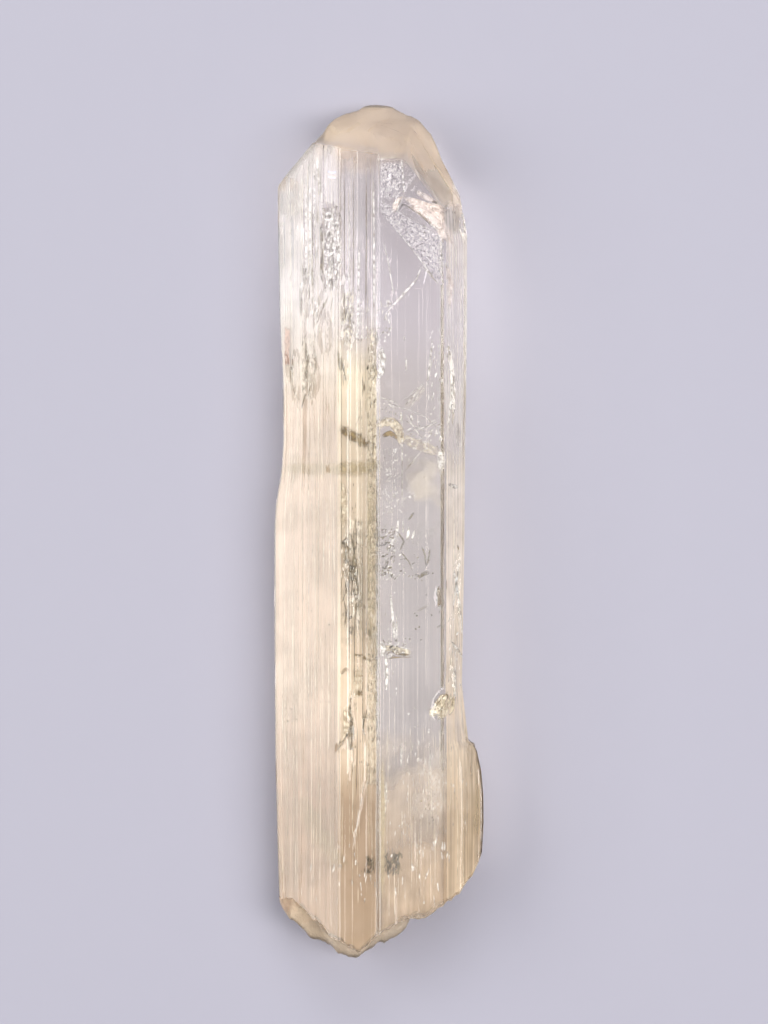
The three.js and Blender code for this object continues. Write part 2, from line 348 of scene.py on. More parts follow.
# Object coordinates in millimetres, apart as X, Y and Z, with the plain vector in metres.
def placeSockets(tree):
    coordinates = addNode(tree, "ShaderNodeTexCoord")
    parts = addNode(tree, "ShaderNodeSeparateXYZ")
    linked(tree, coordinates.outputs["Object"], parts.inputs[0])
    x, y, z = (reckon(tree, "MULTIPLY", parts.outputs[i], 1 / mm) for i in range(3))
    return coordinates.outputs["Object"], x, y, z


# The crystal

section = {
    # x and z of each corner, from the left edge over the front, down the right side and along the back
    "leftFront": (-halfWide, 5.35),
    "stripLow": (-4.05, 8.72),
    "stripHigh": (-4.0, 8.92),
    "stripEnd": (0.0, 10.0),
    "windowStart": (0.08, 10.58),
    "windowEnd": (6.9, 10.35),
    "bevelEnd": (9.4, 7.4),
    "sideEnd": (9.4, 2.9),
    "backRight": (6.5, 0.0),
    "restRight": (2.8, 0.0),
    "restLeft": (-2.6, 0.0),
    "backLeft": (-6.6, 0.0),
    "leftBack": (-halfWide, 3.6),
    "middle": (-0.6, 5.3),
}
# Round the section: the corner that each facet starts at, its columns in the grid, and the depth of
# its growth steps. It ends where the next one starts.
facets = [
    {"from": "leftFront", "columns": 66, "steps": 0.10},
    {"from": "stripLow", "columns": 2, "steps": 0.0},
    {"from": "stripHigh", "columns": 38, "steps": 0.05},
    {"from": "stripEnd", "columns": 4, "steps": 0.0},
    {"from": "windowStart", "columns": 48, "steps": 0.0},
    {"from": "windowEnd", "columns": 27, "steps": 0.12},
    {"from": "bevelEnd", "columns": 18, "steps": 0.12},
    {"from": "sideEnd", "columns": 16, "steps": 0.16},
    {"from": "backRight", "columns": 8, "steps": 0.07},
    {"from": "restRight", "columns": 12, "steps": 0.0},
    {"from": "restLeft", "columns": 12, "steps": 0.09},
    {"from": "backLeft", "columns": 20, "steps": 0.16},
    {"from": "leftBack", "columns": 7, "steps": 0.04},
]
# Growth steps in three sizes: share of the depth, width and length of a tread, and what its seed adds.
treadSizes = [
    {"share": 0.5, "width": 0.92, "length": 60, "seed": 0},
    {"share": 0.3, "width": 0.37, "length": 34, "seed": 20},
    {"share": 0.2, "width": 0.15, "length": 23, "seed": 40},
]
# The edges swing beyond the left and right places, and the straight section ends at rightEnd.
swing = {
    "left": -7.0,
    "right": section["windowEnd"][0],
    "rightEnd": section["bevelEnd"][0],
    "limits": (-10.95, 9.25),        # how far out a mark may lie on the straight section
}
# How far out the left and right edges stand at each level of y.
leftEdge = [
    (-45.9, -9.6), (-40, -10.6), (-36, -10.75), (-24, -11.05), (-6, -11.15), (0.5, -11.15), (2.8, -11.0),
    (4.4, -10.75), (6.6, -10.36), (9.5, -10.2), (17, -10.25), (22, -10.55), (31, -10.75), (45.9, -10.82),
]
rightEdge = [
    (-45.9, 10.9), (-34.4, 10.97), (-31, 11.15), (-28, 11.12), (-25.5, 10.9), (-23.4, 10.45), (-22.7, 10.1),
    (-22.35, 9.55), (-20.4, 9.3), (-16.3, 8.85), (-1, 9.12), (8.4, 9.2), (21.5, 9.4), (31.4, 9.4),
    (33.3, 9.15), (34.1, 8.85), (45.9, 8.85),
]
# The crest of the termination and the line of the broken foot, as levels of y across the crystal.
crest = [
    (-11.2, 35.0), (-10.67, 37.0), (-8.5, 39.6), (-6.45, 42.0), (-5.9, 42.5), (-5.75, 42.9), (-4.7, 44.0),
    (-3.6, 44.75), (-2.3, 45.1), (-1.5, 45.65), (-0.1, 45.88), (1.4, 45.65), (2.8, 44.8), (4.4, 43.85),
    (5.6, 42.5), (6.2, 41.2), (6.66, 39.9), (7.4, 38.6), (8.2, 37.0), (8.7, 36.0), (8.85, 34.5), (9.5, 32.6),
]
footRear = [
    (-11.2, -38.4), (-10.6, -40.0), (-9.7, -41.7), (-8.3, -42.6), (-7.2, -43.9), (-5.3, -44.5), (-4.4, -45.3),
    (-2.4, -45.85), (-1.4, -45.2), (-0.3, -44.5), (0.5, -44.2), (1.6, -44.0), (2.8, -42.9), (3.6, -41.3),
    (5.1, -40.9), (7.1, -39.6), (8.6, -38.5), (9.9, -36.9), (10.95, -34.6), (11.2, -33.0),
]
footFront = [
    (-11.2, -38.6), (-9.6, -40.4), (-8.2, -41.0), (-6.4, -42.2), (-5.2, -43.4), (-3.4, -44.2), (-2.2, -45.0),
    (-1.3, -44.4), (-0.4, -43.5), (0.7, -42.6), (2.1, -41.8), (3.4, -41.25), (5.0, -41.1), (7.0, -39.7),
    (8.6, -38.6), (9.9, -37.0), (10.95, -34.7), (11.2, -33.1),
]
crystalShape = {
    "rows": 232,
    "rimRows": (0.0, 0.0007, 0.0028),
    "capRings": 34,
    "crispAngle": 38,
    "wear": 0.02,
    "waviness": 0.012,
    "frostLine": ((0.05, 33.8), (6.9, 26.2)),
    "frostDepth": 0.15,
}
termination = {
    "domeRadius": 42.0,
    "domeCentre": (0.6, 9.0, -18.4),
    "domeRipple": 0.10,
    "shoulderPoint": (4.4, 37.2, 10.4),        # a point of the right shoulder, and its normal
    "shoulderNormal": (0.66, 0.5, 0.56),
    "shoulderSteps": 0.16,
    "summitLevel": 2.0,                        # the underside of the summit leans back above this z
    "summitSlope": 0.88,
    "leftPoint": (-9.0, 38.6, 2.4),            # a point of the left shoulder, and its slopes over x and z
    "leftSlopes": (0.5 / 0.45, 0.74 / 0.45),
    "patchCount": 70,
    "patchLean": 0.16,
    "patchHeight": 11.0,
}
brokenFoot = {
    "slabBack": 5.4,                           # z at which the front slab gives way to the rear one
    "slabWander": 0.9,
    "slabBlend": 0.35,
    "roughness": 0.5,
    "grain": 0.2,
    "shells": [
        {"x": -6.8, "z": 1.4, "wide": 2.6, "high": 1.5, "deep": 1.5},
        {"x": 5.4, "z": 2.2, "wide": 2.4, "high": 1.6, "deep": 1.3},
        {"x": -9.0, "z": 6.6, "wide": 1.8, "high": 1.3, "deep": 0.9},
    ],
}


def levelAt(points, across):
    table = np.array(points)
    return np.interp(across, table[:, 0], table[:, 1])


# One closed ring of columns: each facet is shared out evenly from its first corner to its last.
# Gives x and z, the outward normal, the facet's number and the distance along it.
def sectionColumns():
    parts = []
    for number, facet in enumerate(facets):
        start = np.array(section[facet["from"]])
        end = np.array(section[facets[(number + 1) % len(facets)]["from"]])
        share = np.arange(facet["columns"]) / facet["columns"]
        along = end - start
        width = np.linalg.norm(along)
        x, z = start[0] + along[0] * share, start[1] + along[1] * share
        outX, outZ = -along[1] / width, along[0] / width
        parts.append(np.stack([x, z, x * 0 + outX, x * 0 + outZ, x * 0 + number, share * width]))
    x, z, outX, outZ, number, along = np.concatenate(parts, axis=1)
    for turn in (1, 2):        # corners share their neighbours' normals, so that no column crosses another
        outX, outZ = (n + np.roll(n, turn) + np.roll(n, -turn) for n in (outX, outZ))
    length = np.hypot(outX, outZ)
    return x, z, outX / length, outZ / length, number.astype(int), along


# The edges swing in and out along the crystal: a share of the edge's own place, fading inwards.
def swung(x, y):
    leftShare = np.clip((swing["left"] - x) / (halfWide + swing["left"]), 0, 1)
    rightShare = np.clip((x - swing["right"]) / (swing["rightEnd"] - swing["right"]), 0, 1)
    leftOut, rightOut = levelAt(leftEdge, y) + halfWide, levelAt(rightEdge, y) - swing["rightEnd"]
    return x + leftShare * leftOut + rightShare * rightOut


# The termination as a height over the section: the lowest of the crest, a dome that leans back
# from the front, the right shoulder, and the undersides of the summit and the left shoulder.
def topLevel(x, z):
    centreX, centreY, centreZ = termination["domeCentre"]
    under = termination["domeRadius"] ** 2 - (x - centreX) ** 2 - (z - centreZ) ** 2
    dome = centreY + np.sqrt(under) + termination["domeRipple"] * (softNoise(x * 0.5, z * 0.7, 3) - 0.5)
    pointX, pointY, pointZ = termination["shoulderPoint"]
    leanX, leanY, leanZ = termination["shoulderNormal"]
    rightShoulder = pointY - (leanX * (x - pointX) + leanZ * (z - pointZ)) / leanY
    treads = np.round(1.2 * softNoise(x * 0.8 + 3, z * 0.5, 8) * 3) / 3
    stepped = rightShoulder + termination["shoulderSteps"] * treads
    underSummit = halfLong + (z - termination["summitLevel"]) * termination["summitSlope"]
    leftX, leftY, leftZ = termination["leftPoint"]
    slopeX, slopeZ = termination["leftSlopes"]
    underLeft = leftY + slopeX * (x - leftX) + slopeZ * (z - leftZ)
    return np.minimum.reduce([levelAt(crest, x), dome, stepped, underSummit, underLeft])


# The foot: the rear slab reaches further than the front one, both are roughened by crackled noise,
# and shell-shaped hollows are let in, each a bell curve over x and z.
def bottomLevel(x, z):
    slabBack = brokenFoot["slabBack"] + brokenFoot["slabWander"] * (softNoise(x * 0.5, x * 0 + 2, 4) - 0.5)
    front = rise(-brokenFoot["slabBlend"], brokenFoot["slabBlend"], z - slabBack)
    level = levelAt(footRear, x) * (1 - front) + levelAt(footFront, x) * front
    rough = brokenFoot["roughness"] * hackle(x * 0.75, z * 0.9, 11)
    rough = rough + brokenFoot["grain"] * hackle(x * 2.3, z * 2.6, 13)
    hollows = 0
    for shell in brokenFoot["shells"]:
        away = ((x - shell["x"]) / shell["wide"]) ** 2 + ((z - shell["z"]) / shell["high"]) ** 2
        hollows = hollows + shell["deep"] * np.exp(-away)
    return level + rough + hollows


# Growth steps: long narrow treads of random height, each a little tilted, that end and begin again
# at their own levels of y. The tread is the cell of the distance along the facet.
def growthSteps(along, y, width, length, seed):
    warped = along / width + 0.45 * np.sin(along / width * 1.7 + seed) + 40 * seed
    tread = np.floor(warped)
    run = y / length + 7 * cellNumber(tread, 0, seed + 1)
    part = np.floor(run)
    blend = rise(0.93, 1.0, run - part)
    height = cellNumber(tread, part, seed) * (1 - blend) + cellNumber(tread, part + 1, seed) * blend
    return height + 0.35 * (warped - tread - 0.5)


# Leaf-shaped etch pit: a long lozenge with rounded sides and a sloping, crinkled floor.
def leafPit(x, y, pit):
    alongPit = (y - pit["y"]) / (pit["long"] / 2)
    acrossPit = (x - pit["x"] - pit.get("lean", 0) * (y - pit["y"])) / (pit["wide"] / 2)
    sharpness = pit.get("sharpness", 1.5)
    reach = np.abs(acrossPit) ** sharpness + np.abs(alongPit) ** (sharpness + 0.6)
    floor = 0.72 + 0.28 * alongPit + pit.get("crinkle", 0.35) * (hackle(x * 2.6, y * 1.3, pit["x"]) - 0.5)
    return pit["deep"] * rise(1.0, 0.72, reach) * floor


# A narrow groove along a chain of points: a V whose depth fades at both ends.
def groove(x, y, route, wide, deep):
    nearest = np.full(np.shape(x), 9.0)
    for (x0, y0), (x1, y1) in zip(route[:-1], route[1:]):
        runX, runY = x1 - x0, y1 - y0
        share = np.clip(((x - x0) * runX + (y - y0) * runY) / (runX**2 + runY**2), 0, 1)
        nearest = np.minimum(nearest, np.hypot(x - x0 - share * runX, y - y0 - share * runY))
    return deep * np.clip(1 - nearest / wide, 0, 1)


pits = [
    {"x": -5.15, "y": 30.2, "wide": 2.0, "long": 9.2, "deep": 0.42, "sharpness": 2.6, "crinkle": 0.7},
    {"x": -7.85, "y": 24.9, "wide": 0.95, "long": 4.2, "deep": 0.26, "sharpness": 3.0},
    {"x": -6.4, "y": 23.6, "wide": 0.6, "long": 3.6, "deep": 0.28, "lean": 0.25},
    {"x": -5.7, "y": 20.9, "wide": 1.5, "long": 4.6, "deep": 0.2, "crinkle": 0.9},
    {"x": -8.9, "y": 16.4, "wide": 0.75, "long": 5.8, "deep": 0.24, "sharpness": 2.4},
    {"x": -7.2, "y": 16.2, "wide": 1.7, "long": 5.2, "deep": 0.22, "crinkle": 1.0},
    {"x": -3.55, "y": 24.8, "wide": 0.95, "long": 5.2, "deep": 0.24, "crinkle": 0.9},
    {"x": -3.6, "y": 16.4, "wide": 0.5, "long": 3.0, "deep": 0.3},
    {"x": -3.3, "y": 21.0, "wide": 1.3, "long": 3.0, "deep": 0.22, "crinkle": 1.0},
    {"x": -0.45, "y": 17.6, "wide": 0.75, "long": 6.0, "deep": 0.24, "crinkle": 0.9},
    {"x": -3.55, "y": -3.4, "wide": 0.9, "long": 4.2, "deep": 0.3, "crinkle": 1.0},
    {"x": -2.35, "y": -6.4, "wide": 0.9, "long": 7.4, "deep": 0.24, "crinkle": 1.0},
    {"x": -0.9, "y": -10.6, "wide": 0.7, "long": 3.2, "deep": 0.24},
    {"x": 7.55, "y": 15.2, "wide": 1.1, "long": 9.5, "deep": 0.34, "lean": -0.03},
    {"x": 8.2, "y": -7.4, "wide": 1.0, "long": 11.0, "deep": 0.4, "lean": 0.05},
    {"x": 7.6, "y": -16.2, "wide": 0.9, "long": 6.2, "deep": 0.3},
    {"x": 6.5, "y": -18.3, "wide": 1.5, "long": 2.6, "deep": 0.3, "lean": 0.35, "crinkle": 1.0},
    {"x": 6.2, "y": -7.0, "wide": 0.35, "long": 1.6, "deep": 0.16},
    {"x": 1.4, "y": 36.6, "wide": 0.5, "long": 4.4, "deep": 0.12},
]
grooves = [
    {"route": [(-5.39, 12.9), (-5.39, 6.5)], "wide": 0.14, "deep": 0.22},
    {"route": [(-3.22, 19.5), (-3.22, -26.0)], "wide": 0.13, "deep": 0.14},
    {"route": [(-1.75, 24.0), (-1.75, -28.0)], "wide": 0.14, "deep": 0.18},
    {"route": [(-2.75, -17.2), (-3.05, -18.3), (-2.65, -21.0), (-2.75, -24.6)], "wide": 0.16, "deep": 0.2},
    {"route": [(-3.0, -19.5), (-3.2, -21.1), (-3.76, -22.4), (-4.5, -23.1)], "wide": 0.18, "deep": 0.22},
    {"route": [(-1.2, -19.1), (-1.58, -20.3), (-1.4, -22.7), (-1.36, -26.5)], "wide": 0.14, "deep": 0.18},
    {"route": [(-1.45, -26.1), (-1.9, -28.8), (-2.85, -33.6)], "wide": 0.12, "deep": 0.1},
    {"route": [(0.5, 30.9), (1.75, 24.7)], "wide": 0.1, "deep": 0.03},
    {"route": [(5.5, 28.5), (4.9, 26.2), (2.8, 24.7), (0.5, 23.1)], "wide": 0.12, "deep": 0.05},
    {"route": [(5.5, 28.5), (6.8, 26.3)], "wide": 0.1, "deep": 0.04},
    {"route": [(-10.6, 18.8), (-9.9, 18.4), (-9.6, 16.2)], "wide": 0.2, "deep": 0.14},
]
chip = {
    "arc": ((2.6, 35.75), (7.6, 31.1)),        # the bright lower edge of the shell-shaped chip
    "bite": {"x": 2.1, "y": 34.9, "wide": 0.62, "long": 2.3, "deep": 0.3, "lean": 0.5},
    "bow": 0.22,                               # how far that edge bows out in its middle
    "deepest": 2.2,                            # distance from the edge at which the chip stops deepening
    "ribTop": (7.9, 38.0),
    "ribSide": (7.1, 7.7),
    "ribFoot": (32.6, 33.4),
}


# The chip on the right shoulder: it deepens away from a straight edge in rippled shells, with a
# leaf-shaped bite at its left end and ribs that spread from the top of the shoulder.
def chipDepth(x, y):
    (x0, y0), (x1, y1) = chip["arc"]
    length = math.hypot(x1 - x0, y1 - y0)
    runX, runY = (x1 - x0) / length, (y1 - y0) / length
    along = (x - x0) * runX + (y - y0) * runY
    bowed = chip["bow"] * np.sin(np.clip(along / length, 0, 1) * math.pi)
    beyond = -(x - x0) * runY + (y - y0) * runX - bowed
    inside = rise(0.0, 0.16, beyond) * rise(-0.3, 0.5, along) * rise(length + 1.6, length - 0.2, along)
    shells = 0.07 * np.sin(np.sqrt(np.clip(beyond, 0, 9)) * 9 + along * 0.6)
    lobe = inside * (0.16 + 0.34 * np.clip(beyond, 0, chip["deepest"]) + shells)
    ribX, ribY = chip["ribTop"]
    fan = 0.22 + 0.10 * np.sin(np.arctan2(x - ribX, ribY - y) * 42)
    ribs = rise(*chip["ribSide"], x) * rise(*chip["ribFoot"], y) * fan
    return np.maximum(lobe, ribs) + leafPit(x, y, chip["bite"])


# Everything that is cut into the front, as a depth over x and y.
def frontCut(x, y):
    (lineX0, lineY0), (lineX1, lineY1) = crystalShape["frostLine"]
    lineY = lineY0 + (x - lineX0) * (lineY1 - lineY0) / (lineX1 - lineX0)
    windowStart, windowEnd = section["windowStart"][0], section["windowEnd"][0]
    onWindow = rise(-0.02, 0.1, x - windowStart) * rise(0.1, -0.1, x - windowEnd)
    depth = crystalShape["frostDepth"] * rise(0.0, 0.3, y - lineY) * onWindow
    depth = depth + chipDepth(x, y)
    for pit in pits:
        depth = depth + leafPit(x, y, pit)
    for line in grooves:
        depth = depth + groove(x, y, **line)
    worn = rise(-18, -34, y) * crystalShape["wear"] * softNoise(x * 3.5, y * 0.12, 21)
    return depth + worn + crystalShape["waviness"] * softNoise(x * 0.6, y * 0.12, 31)


# Level of an end over the straight section, with x swung to the outline there: a few rounds settle it.
def endLevel(level, x, z):
    y = level(x, z)
    for _ in range(4):
        y = level(swung(x, y), z)
    return y


# Small flat patches of the termination over x and z: each point takes the lean of its nearest middle.
def flatPatches(x, z):
    chance = np.random.default_rng(12).random((termination["patchCount"], 4))
    middleX, middleZ = (chance[:, 0] - 0.5) * 2 * halfWide, chance[:, 1] * termination["patchHeight"]
    away = (x[..., None] - middleX) ** 2 + (z[..., None] - middleZ) ** 2
    nearest = away.argmin(axis=-1)
    leanX, leanZ = chance[nearest, 2] - 0.5, chance[nearest, 3] - 0.5
    return termination["patchLean"] * ((x - middleX[nearest]) * leanX + (z - middleZ[nearest]) * leanZ)


# How much of the growth steps is left at a distance along a facet: none at its corners, less on the
# lower left face, and little on the smooth outer part of that face near the termination.
def stepFade(facet, s, y):
    width = s.max()
    fade = rise(0, 0.25, s) * rise(width, width - 0.25, s)
    if facet["from"] == "leftFront":
        fade = fade * (1 - 0.8 * rise(13, 19, y) * rise(2.6, 1.8, s)) * (1 - 0.55 * rise(15, 8, y))
    return fade


# Depth of the growth steps over the grid: on each facet, three sizes of tread added up by their shares.
def stepDepths(y, number, along):
    depth = np.zeros_like(y)
    for index, facet in enumerate(facets):
        here = number == index
        s, level = along[None, here], y[:, here]
        if facet["steps"]:
            steps = 0
            for tread in treadSizes:
                seed = index + 1 + tread["seed"]
                steps = steps + tread["share"] * growthSteps(s, level, tread["width"], tread["length"], seed)
            depth[:, here] = facet["steps"] * np.clip(steps, 0, 1) * stepFade(facet, s, level)
    return depth


# Rings of the same columns, ever smaller, that close an end: the flat shape follows that end's level.
def capRows(x, y, z, level, onTop):
    rings = np.arange(1, crystalShape["capRings"] + 1) / crystalShape["capRings"]
    shrink = (1 - rings**1.35)[:, None]
    middleX, middleZ = section["middle"]
    ringX = middleX + (x - middleX) * shrink
    ringZ = middleZ + (z - middleZ) * shrink
    ringY = level(ringX, ringZ) + (y - level(x, z)) * shrink**6
    if onTop:
        ringY = ringY + flatPatches(ringX, ringZ) * rise(1.0, 0.93, shrink)
    return np.stack([ringX, ringY, ringZ], axis=-1)


# The whole crystal as one closed grid: columns run along y from the foot to the termination, and
# rings of the same columns shrink towards the middle of the section to close both ends. The third
# result is 1 on the termination, -1 on the broken foot and 0 along the sides.
def crystalSurface():
    x0, z0, outX, outZ, number, along = sectionColumns()
    columns = len(x0)
    top, bottom = endLevel(topLevel, x0, z0), endLevel(bottomLevel, x0, z0)
    rim = np.array(crystalShape["rimRows"])
    inner = np.linspace(rim[-1], 1 - rim[-1], crystalShape["rows"] - 2 * len(rim) + 2)[1:-1]
    share = np.concatenate([rim, inner, 1 - rim[::-1]])[:, None]
    y = bottom + (top - bottom) * share
    x = swung(x0[None, :], y)
    front = (outZ > 0.3)[None, :] * rise(0.3, 0.6, outZ)[None, :]
    depth = stepDepths(y, number, along) + front * frontCut(x, y)
    x = x - outX * depth
    z = np.broadcast_to(z0, y.shape) - outZ * depth

    footCap = capRows(x[0], y[0], z[0], bottomLevel, False)
    topCap = capRows(x[-1], y[-1], z[-1], topLevel, True)
    # the innermost ring of each cap is one point, so it is kept once and joined by triangles
    footPoint, topPoint = footCap[-1, :1], topCap[-1, :1]
    body = np.concatenate([footCap[-2::-1], np.stack([x, y, z], axis=-1), topCap[:-1]])
    places = np.concatenate([body.reshape(-1, 3), footPoint, topPoint])
    ends = np.zeros(body.shape[:2])
    ends[:crystalShape["capRings"]] = -1
    ends[-crystalShape["capRings"]:] = 1
    ends = np.concatenate([ends.ravel(), [-1, 1]])
    faces = gridQuads(len(body), columns, True).tolist()
    ring = np.arange(columns)
    nextOne = np.roll(ring, -1)
    last = (len(body) - 1) * columns
    faces += np.stack([nextOne, ring, ring * 0 + len(places) - 2], axis=-1).tolist()
    faces += np.stack([last + ring, last + nextOne, ring * 0 + len(places) - 1], axis=-1).tolist()
    return places, faces, ends


# Twice the signed volume of a closed mesh is positive when its faces point out.
def facesOut(places, faces):
    signed = 0.0
    for size in (3, 4):
        chosen = np.array([face for face in faces if len(face) == size])
        if len(chosen):
            for turn in range(1, size - 1):
                a, b, c = places[chosen[:, 0]], places[chosen[:, turn]], places[chosen[:, turn + 1]]
                signed += np.einsum("ij,ij->", a, np.cross(b, c))
    return faces if signed > 0 else [face[::-1] for face in faces]


crystalFinish = {
    "ior": 1.66,
    "depthColour": (0.93, 0.68, 0.20),
    "depthDensity": 6.5,           # per metre
    "shadowColour": (1.0, 0.99, 0.975),
    "roughness": {
        "clear": 0.02, "leftFace": 0.055, "leftStreaks": 0.04, "strip": 0.03, "sides": 0.07, "foot": 0.12,
        "corner": 0.08, "border": 0.14, "broken": 0.42, "cap": 0.42,
    },
    "tints": {
        "upper": (0.985, 0.975, 0.99), "lower": (1.0, 0.99, 0.955), "cap": (0.965, 0.925, 0.85),
        "foot": (0.965, 0.915, 0.825), "border": (0.80, 0.775, 0.70),
    },
    # heights of the bumps, in millimetres
    "gritHeight": 0.05,
    "streakHeight": 0.045,
    "brokenHeight": 0.2,
    # shares of a bump that a zone takes
    "borderGrit": 0.8,
    "capGrit": 0.5,
    "stripCalm": 0.6,
    "coarseGrit": 0.36,            # the grit's scale on the broken foot
}
# Edges of the zones, in millimetres over x, y or z: a mask rises from the first number to the second.
zoneEdges = {
    "windowSides": ((-0.1, 0.25), (7.1, 6.8)), "windowLevel": (9.2, 9.6), "cornerLine": (-0.1, 0.3),
    "stripSides": ((-4.2, -3.9), (0.1, -0.1)), "leftSide": (-3.9, -4.2), "frontLevel": (4.6, 5.2),
    "borderSides": ((-1.45, -1.1), (0.16, 0.08)), "borderTop": (21.0, 7.0), "borderLevel": (8.0, 8.6),
    "borderFoot": (-29.0, -22.0, 0.3, 1.0),        # it runs on into the foot at 0.3
    "foot": (-20.0, -33.0), "lower": (24.0, 14.0), "smoothSide": (-8.0, -8.8), "smoothTop": (13.0, 19.0),
}


# Masks of the crystal's zones: both ends by their attribute, and the rest by where the faces lie.
def gemZones(tree, x, y, z):
    end = addNode(tree, "ShaderNodeAttribute", attribute_name="end").outputs["Fac"]
    zones = {"cap": nodeRise(tree, end, 0.2, 0.8), "broken": nodeRise(tree, end, -0.2, -0.8)}
    zones["foot"] = nodeRise(tree, y, *zoneEdges["foot"])
    zones["strip"] = nodeBand(tree, x, *zoneEdges["stripSides"])
    windowSides = nodeBand(tree, x, *zoneEdges["windowSides"])
    zones["window"] = product(tree, windowSides, nodeRise(tree, z, *zoneEdges["windowLevel"]))
    zones["sides"] = reckon(tree, "SUBTRACT", 1.0, reckon(tree, "MAXIMUM", zones["window"], zones["strip"]))
    (lineX0, lineY0), (lineX1, lineY1) = crystalShape["frostLine"]
    slope = (lineY1 - lineY0) / (lineX1 - lineX0)
    aboveLine = reckon(tree, "SUBTRACT", y, reckon(tree, "MULTIPLY_ADD", x, slope, lineY0))
    zones["corner"] = product(tree, zones["window"], nodeRise(tree, aboveLine, *zoneEdges["cornerLine"]))
    leftSide = nodeRise(tree, x, *zoneEdges["leftSide"])
    zones["leftFace"] = product(tree, leftSide, nodeRise(tree, z, *zoneEdges["frontLevel"]))
    # the etched border between the strip and the window, darker over the middle of the crystal
    zones["border"] = product(
        tree, nodeBand(tree, x, *zoneEdges["borderSides"]), nodeRise(tree, y, *zoneEdges["borderTop"]),
        nodeRise(tree, y, *zoneEdges["borderFoot"]), nodeRise(tree, z, *zoneEdges["borderLevel"]),
    )
    smoothSide = nodeRise(tree, x, *zoneEdges["smoothSide"])
    zones["smooth"] = product(tree, smoothSide, nodeRise(tree, y, *zoneEdges["smoothTop"]))
    return zones


# The highest of the zones' own values, with the left face streaked.
def gemRoughness(tree, zones, streaks):
    values = crystalFinish["roughness"]
    clear = values["clear"]
    streaked = reckon(tree, "MULTIPLY_ADD", streaks["Mask"], values["leftStreaks"], values["leftFace"])
    rough = product(tree, zones["leftFace"], streaked)
    for zone in ("strip", "sides", "foot", "corner", "border", "broken", "cap"):
        own = reckon(tree, "MULTIPLY_ADD", zones[zone], values[zone] - clear, clear)
        rough = reckon(tree, "MAXIMUM", rough, own)
    return rough


# Cool near the termination and warm below, browner on both ends and greyer on the gritty border.
def gemTint(tree, zones, y, grit):
    tints = crystalFinish["tints"]
    tint = mixColours(tree, nodeRise(tree, y, *zoneEdges["lower"]), tints["upper"], tints["lower"])
    tint = mixColours(tree, zones["cap"], tint, tints["cap"])
    tint = mixColours(tree, zones["foot"], tint, tints["foot"])
    gritty = product(tree, zones["border"], nodeRise(tree, grit["Height"], 0.3, 0.7, 0.55, 1.0))
    return mixColours(tree, gritty, tint, tints["border"])


# Three bumps in turn: grit where the crystal is etched, the broken foot, and growth streaks.
def gemNormal(tree, zones, streaks, grit):
    finish = crystalFinish
    borderGrit = product(tree, zones["border"], finish["borderGrit"])
    gritShare = reckon(tree, "MAXIMUM", zones["corner"], borderGrit)
    gritShare = reckon(tree, "MAXIMUM", gritShare, product(tree, zones["cap"], finish["capGrit"]))
    streaky = reckon(tree, "SUBTRACT", 1.0, reckon(tree, "MAXIMUM", zones["window"], zones["cap"]))
    notSmooth = reckon(tree, "SUBTRACT", 1.0, zones["smooth"], clamp=True)
    calmer = reckon(tree, "MULTIPLY_ADD", zones["strip"], -finish["stripCalm"], 1.0)
    bumps = (
        ("etched grit", gritShare, grit, finish["gritHeight"]),
        ("broken foot", zones["broken"], grit, finish["brokenHeight"]),
        ("growth streaks", product(tree, streaky, notSmooth, calmer), streaks, finish["streakHeight"]),
    )
    normal = None
    for label, share, texture, height in bumps:
        bump = addNode(tree, "ShaderNodeBump", label)
        bump.inputs["Distance"].default_value = height * mm
        linked(tree, product(tree, share, texture["Height"]), bump.inputs["Height"])
        if normal is not None:
            linked(tree, normal, bump.inputs["Normal"])
        normal = bump.outputs[0]
    return normal


# Clear pale yellow gem: plain transmission, index and absorption. Roughness, tint and bump follow
# the faces: a clear window, striated left face and sides, a frosted termination and foot.
def gemMaterial():
    material, tree = freshMaterial("paleYellowGem")
    vector, x, y, z = placeSockets(tree)
    zones = gemZones(tree, x, y, z)
    streaks = placeGroup(tree, streakGroup, vector, Across=1500.0, Along=7.0)
    coarser = nodeRise(tree, zones["broken"], 0.0, 1.0, 1.0, crystalFinish["coarseGrit"])
    grit = placeGroup(tree, gritGroup, scaledVector(tree, vector, coarser), Size=3600.0)
    gem = addNode(tree, "ShaderNodeBsdfPrincipled")
    gem.inputs["Transmission Weight"].default_value = 1.0
    gem.inputs["IOR"].default_value = crystalFinish["ior"]
    linked(tree, gemTint(tree, zones, y, grit), gem.inputs["Base Color"])
    linked(tree, gemRoughness(tree, zones, streaks), gem.inputs["Roughness"])
    linked(tree, gemNormal(tree, zones, streaks, grit), gem.inputs["Normal"])
    passing = addNode(tree, "ShaderNodeBsdfTransparent")
    passing.inputs["Color"].default_value = (*crystalFinish["shadowColour"], 1)
    lightPath = addNode(tree, "ShaderNodeLightPath")
    both = addNode(tree, "ShaderNodeMixShader")
    linked(tree, lightPath.outputs["Is Shadow Ray"], both.inputs[0])
    linked(tree, gem.outputs[0], both.inputs[1])
    linked(tree, passing.outputs[0], both.inputs[2])
    absorption = addNode(tree, "ShaderNodeVolumeAbsorption")
    absorption.inputs["Color"].default_value = (*crystalFinish["depthColour"], 1)
    absorption.inputs["Density"].default_value = crystalFinish["depthDensity"]
    finishMaterial(tree, both.outputs[0], absorption.outputs[0])
    return material


def addCrystal():
    places, faces, ends = crystalSurface()
    piece = meshPiece("crystal", places, facesOut(places, faces), gemMaterial())
    piece.data.attributes.new("end", "FLOAT", "POINT").data.foreach_set("value", ends)
    piece.data.set_sharp_from_angle(angle=math.radians(crystalShape["crispAngle"]))
    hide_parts("spodumene_crystal")
    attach(piece, "root")
    print("crystal:", len(places), "places,", sum(len(face) - 2 for face in faces), "triangles")


addCrystal()


# What lies inside the crystal

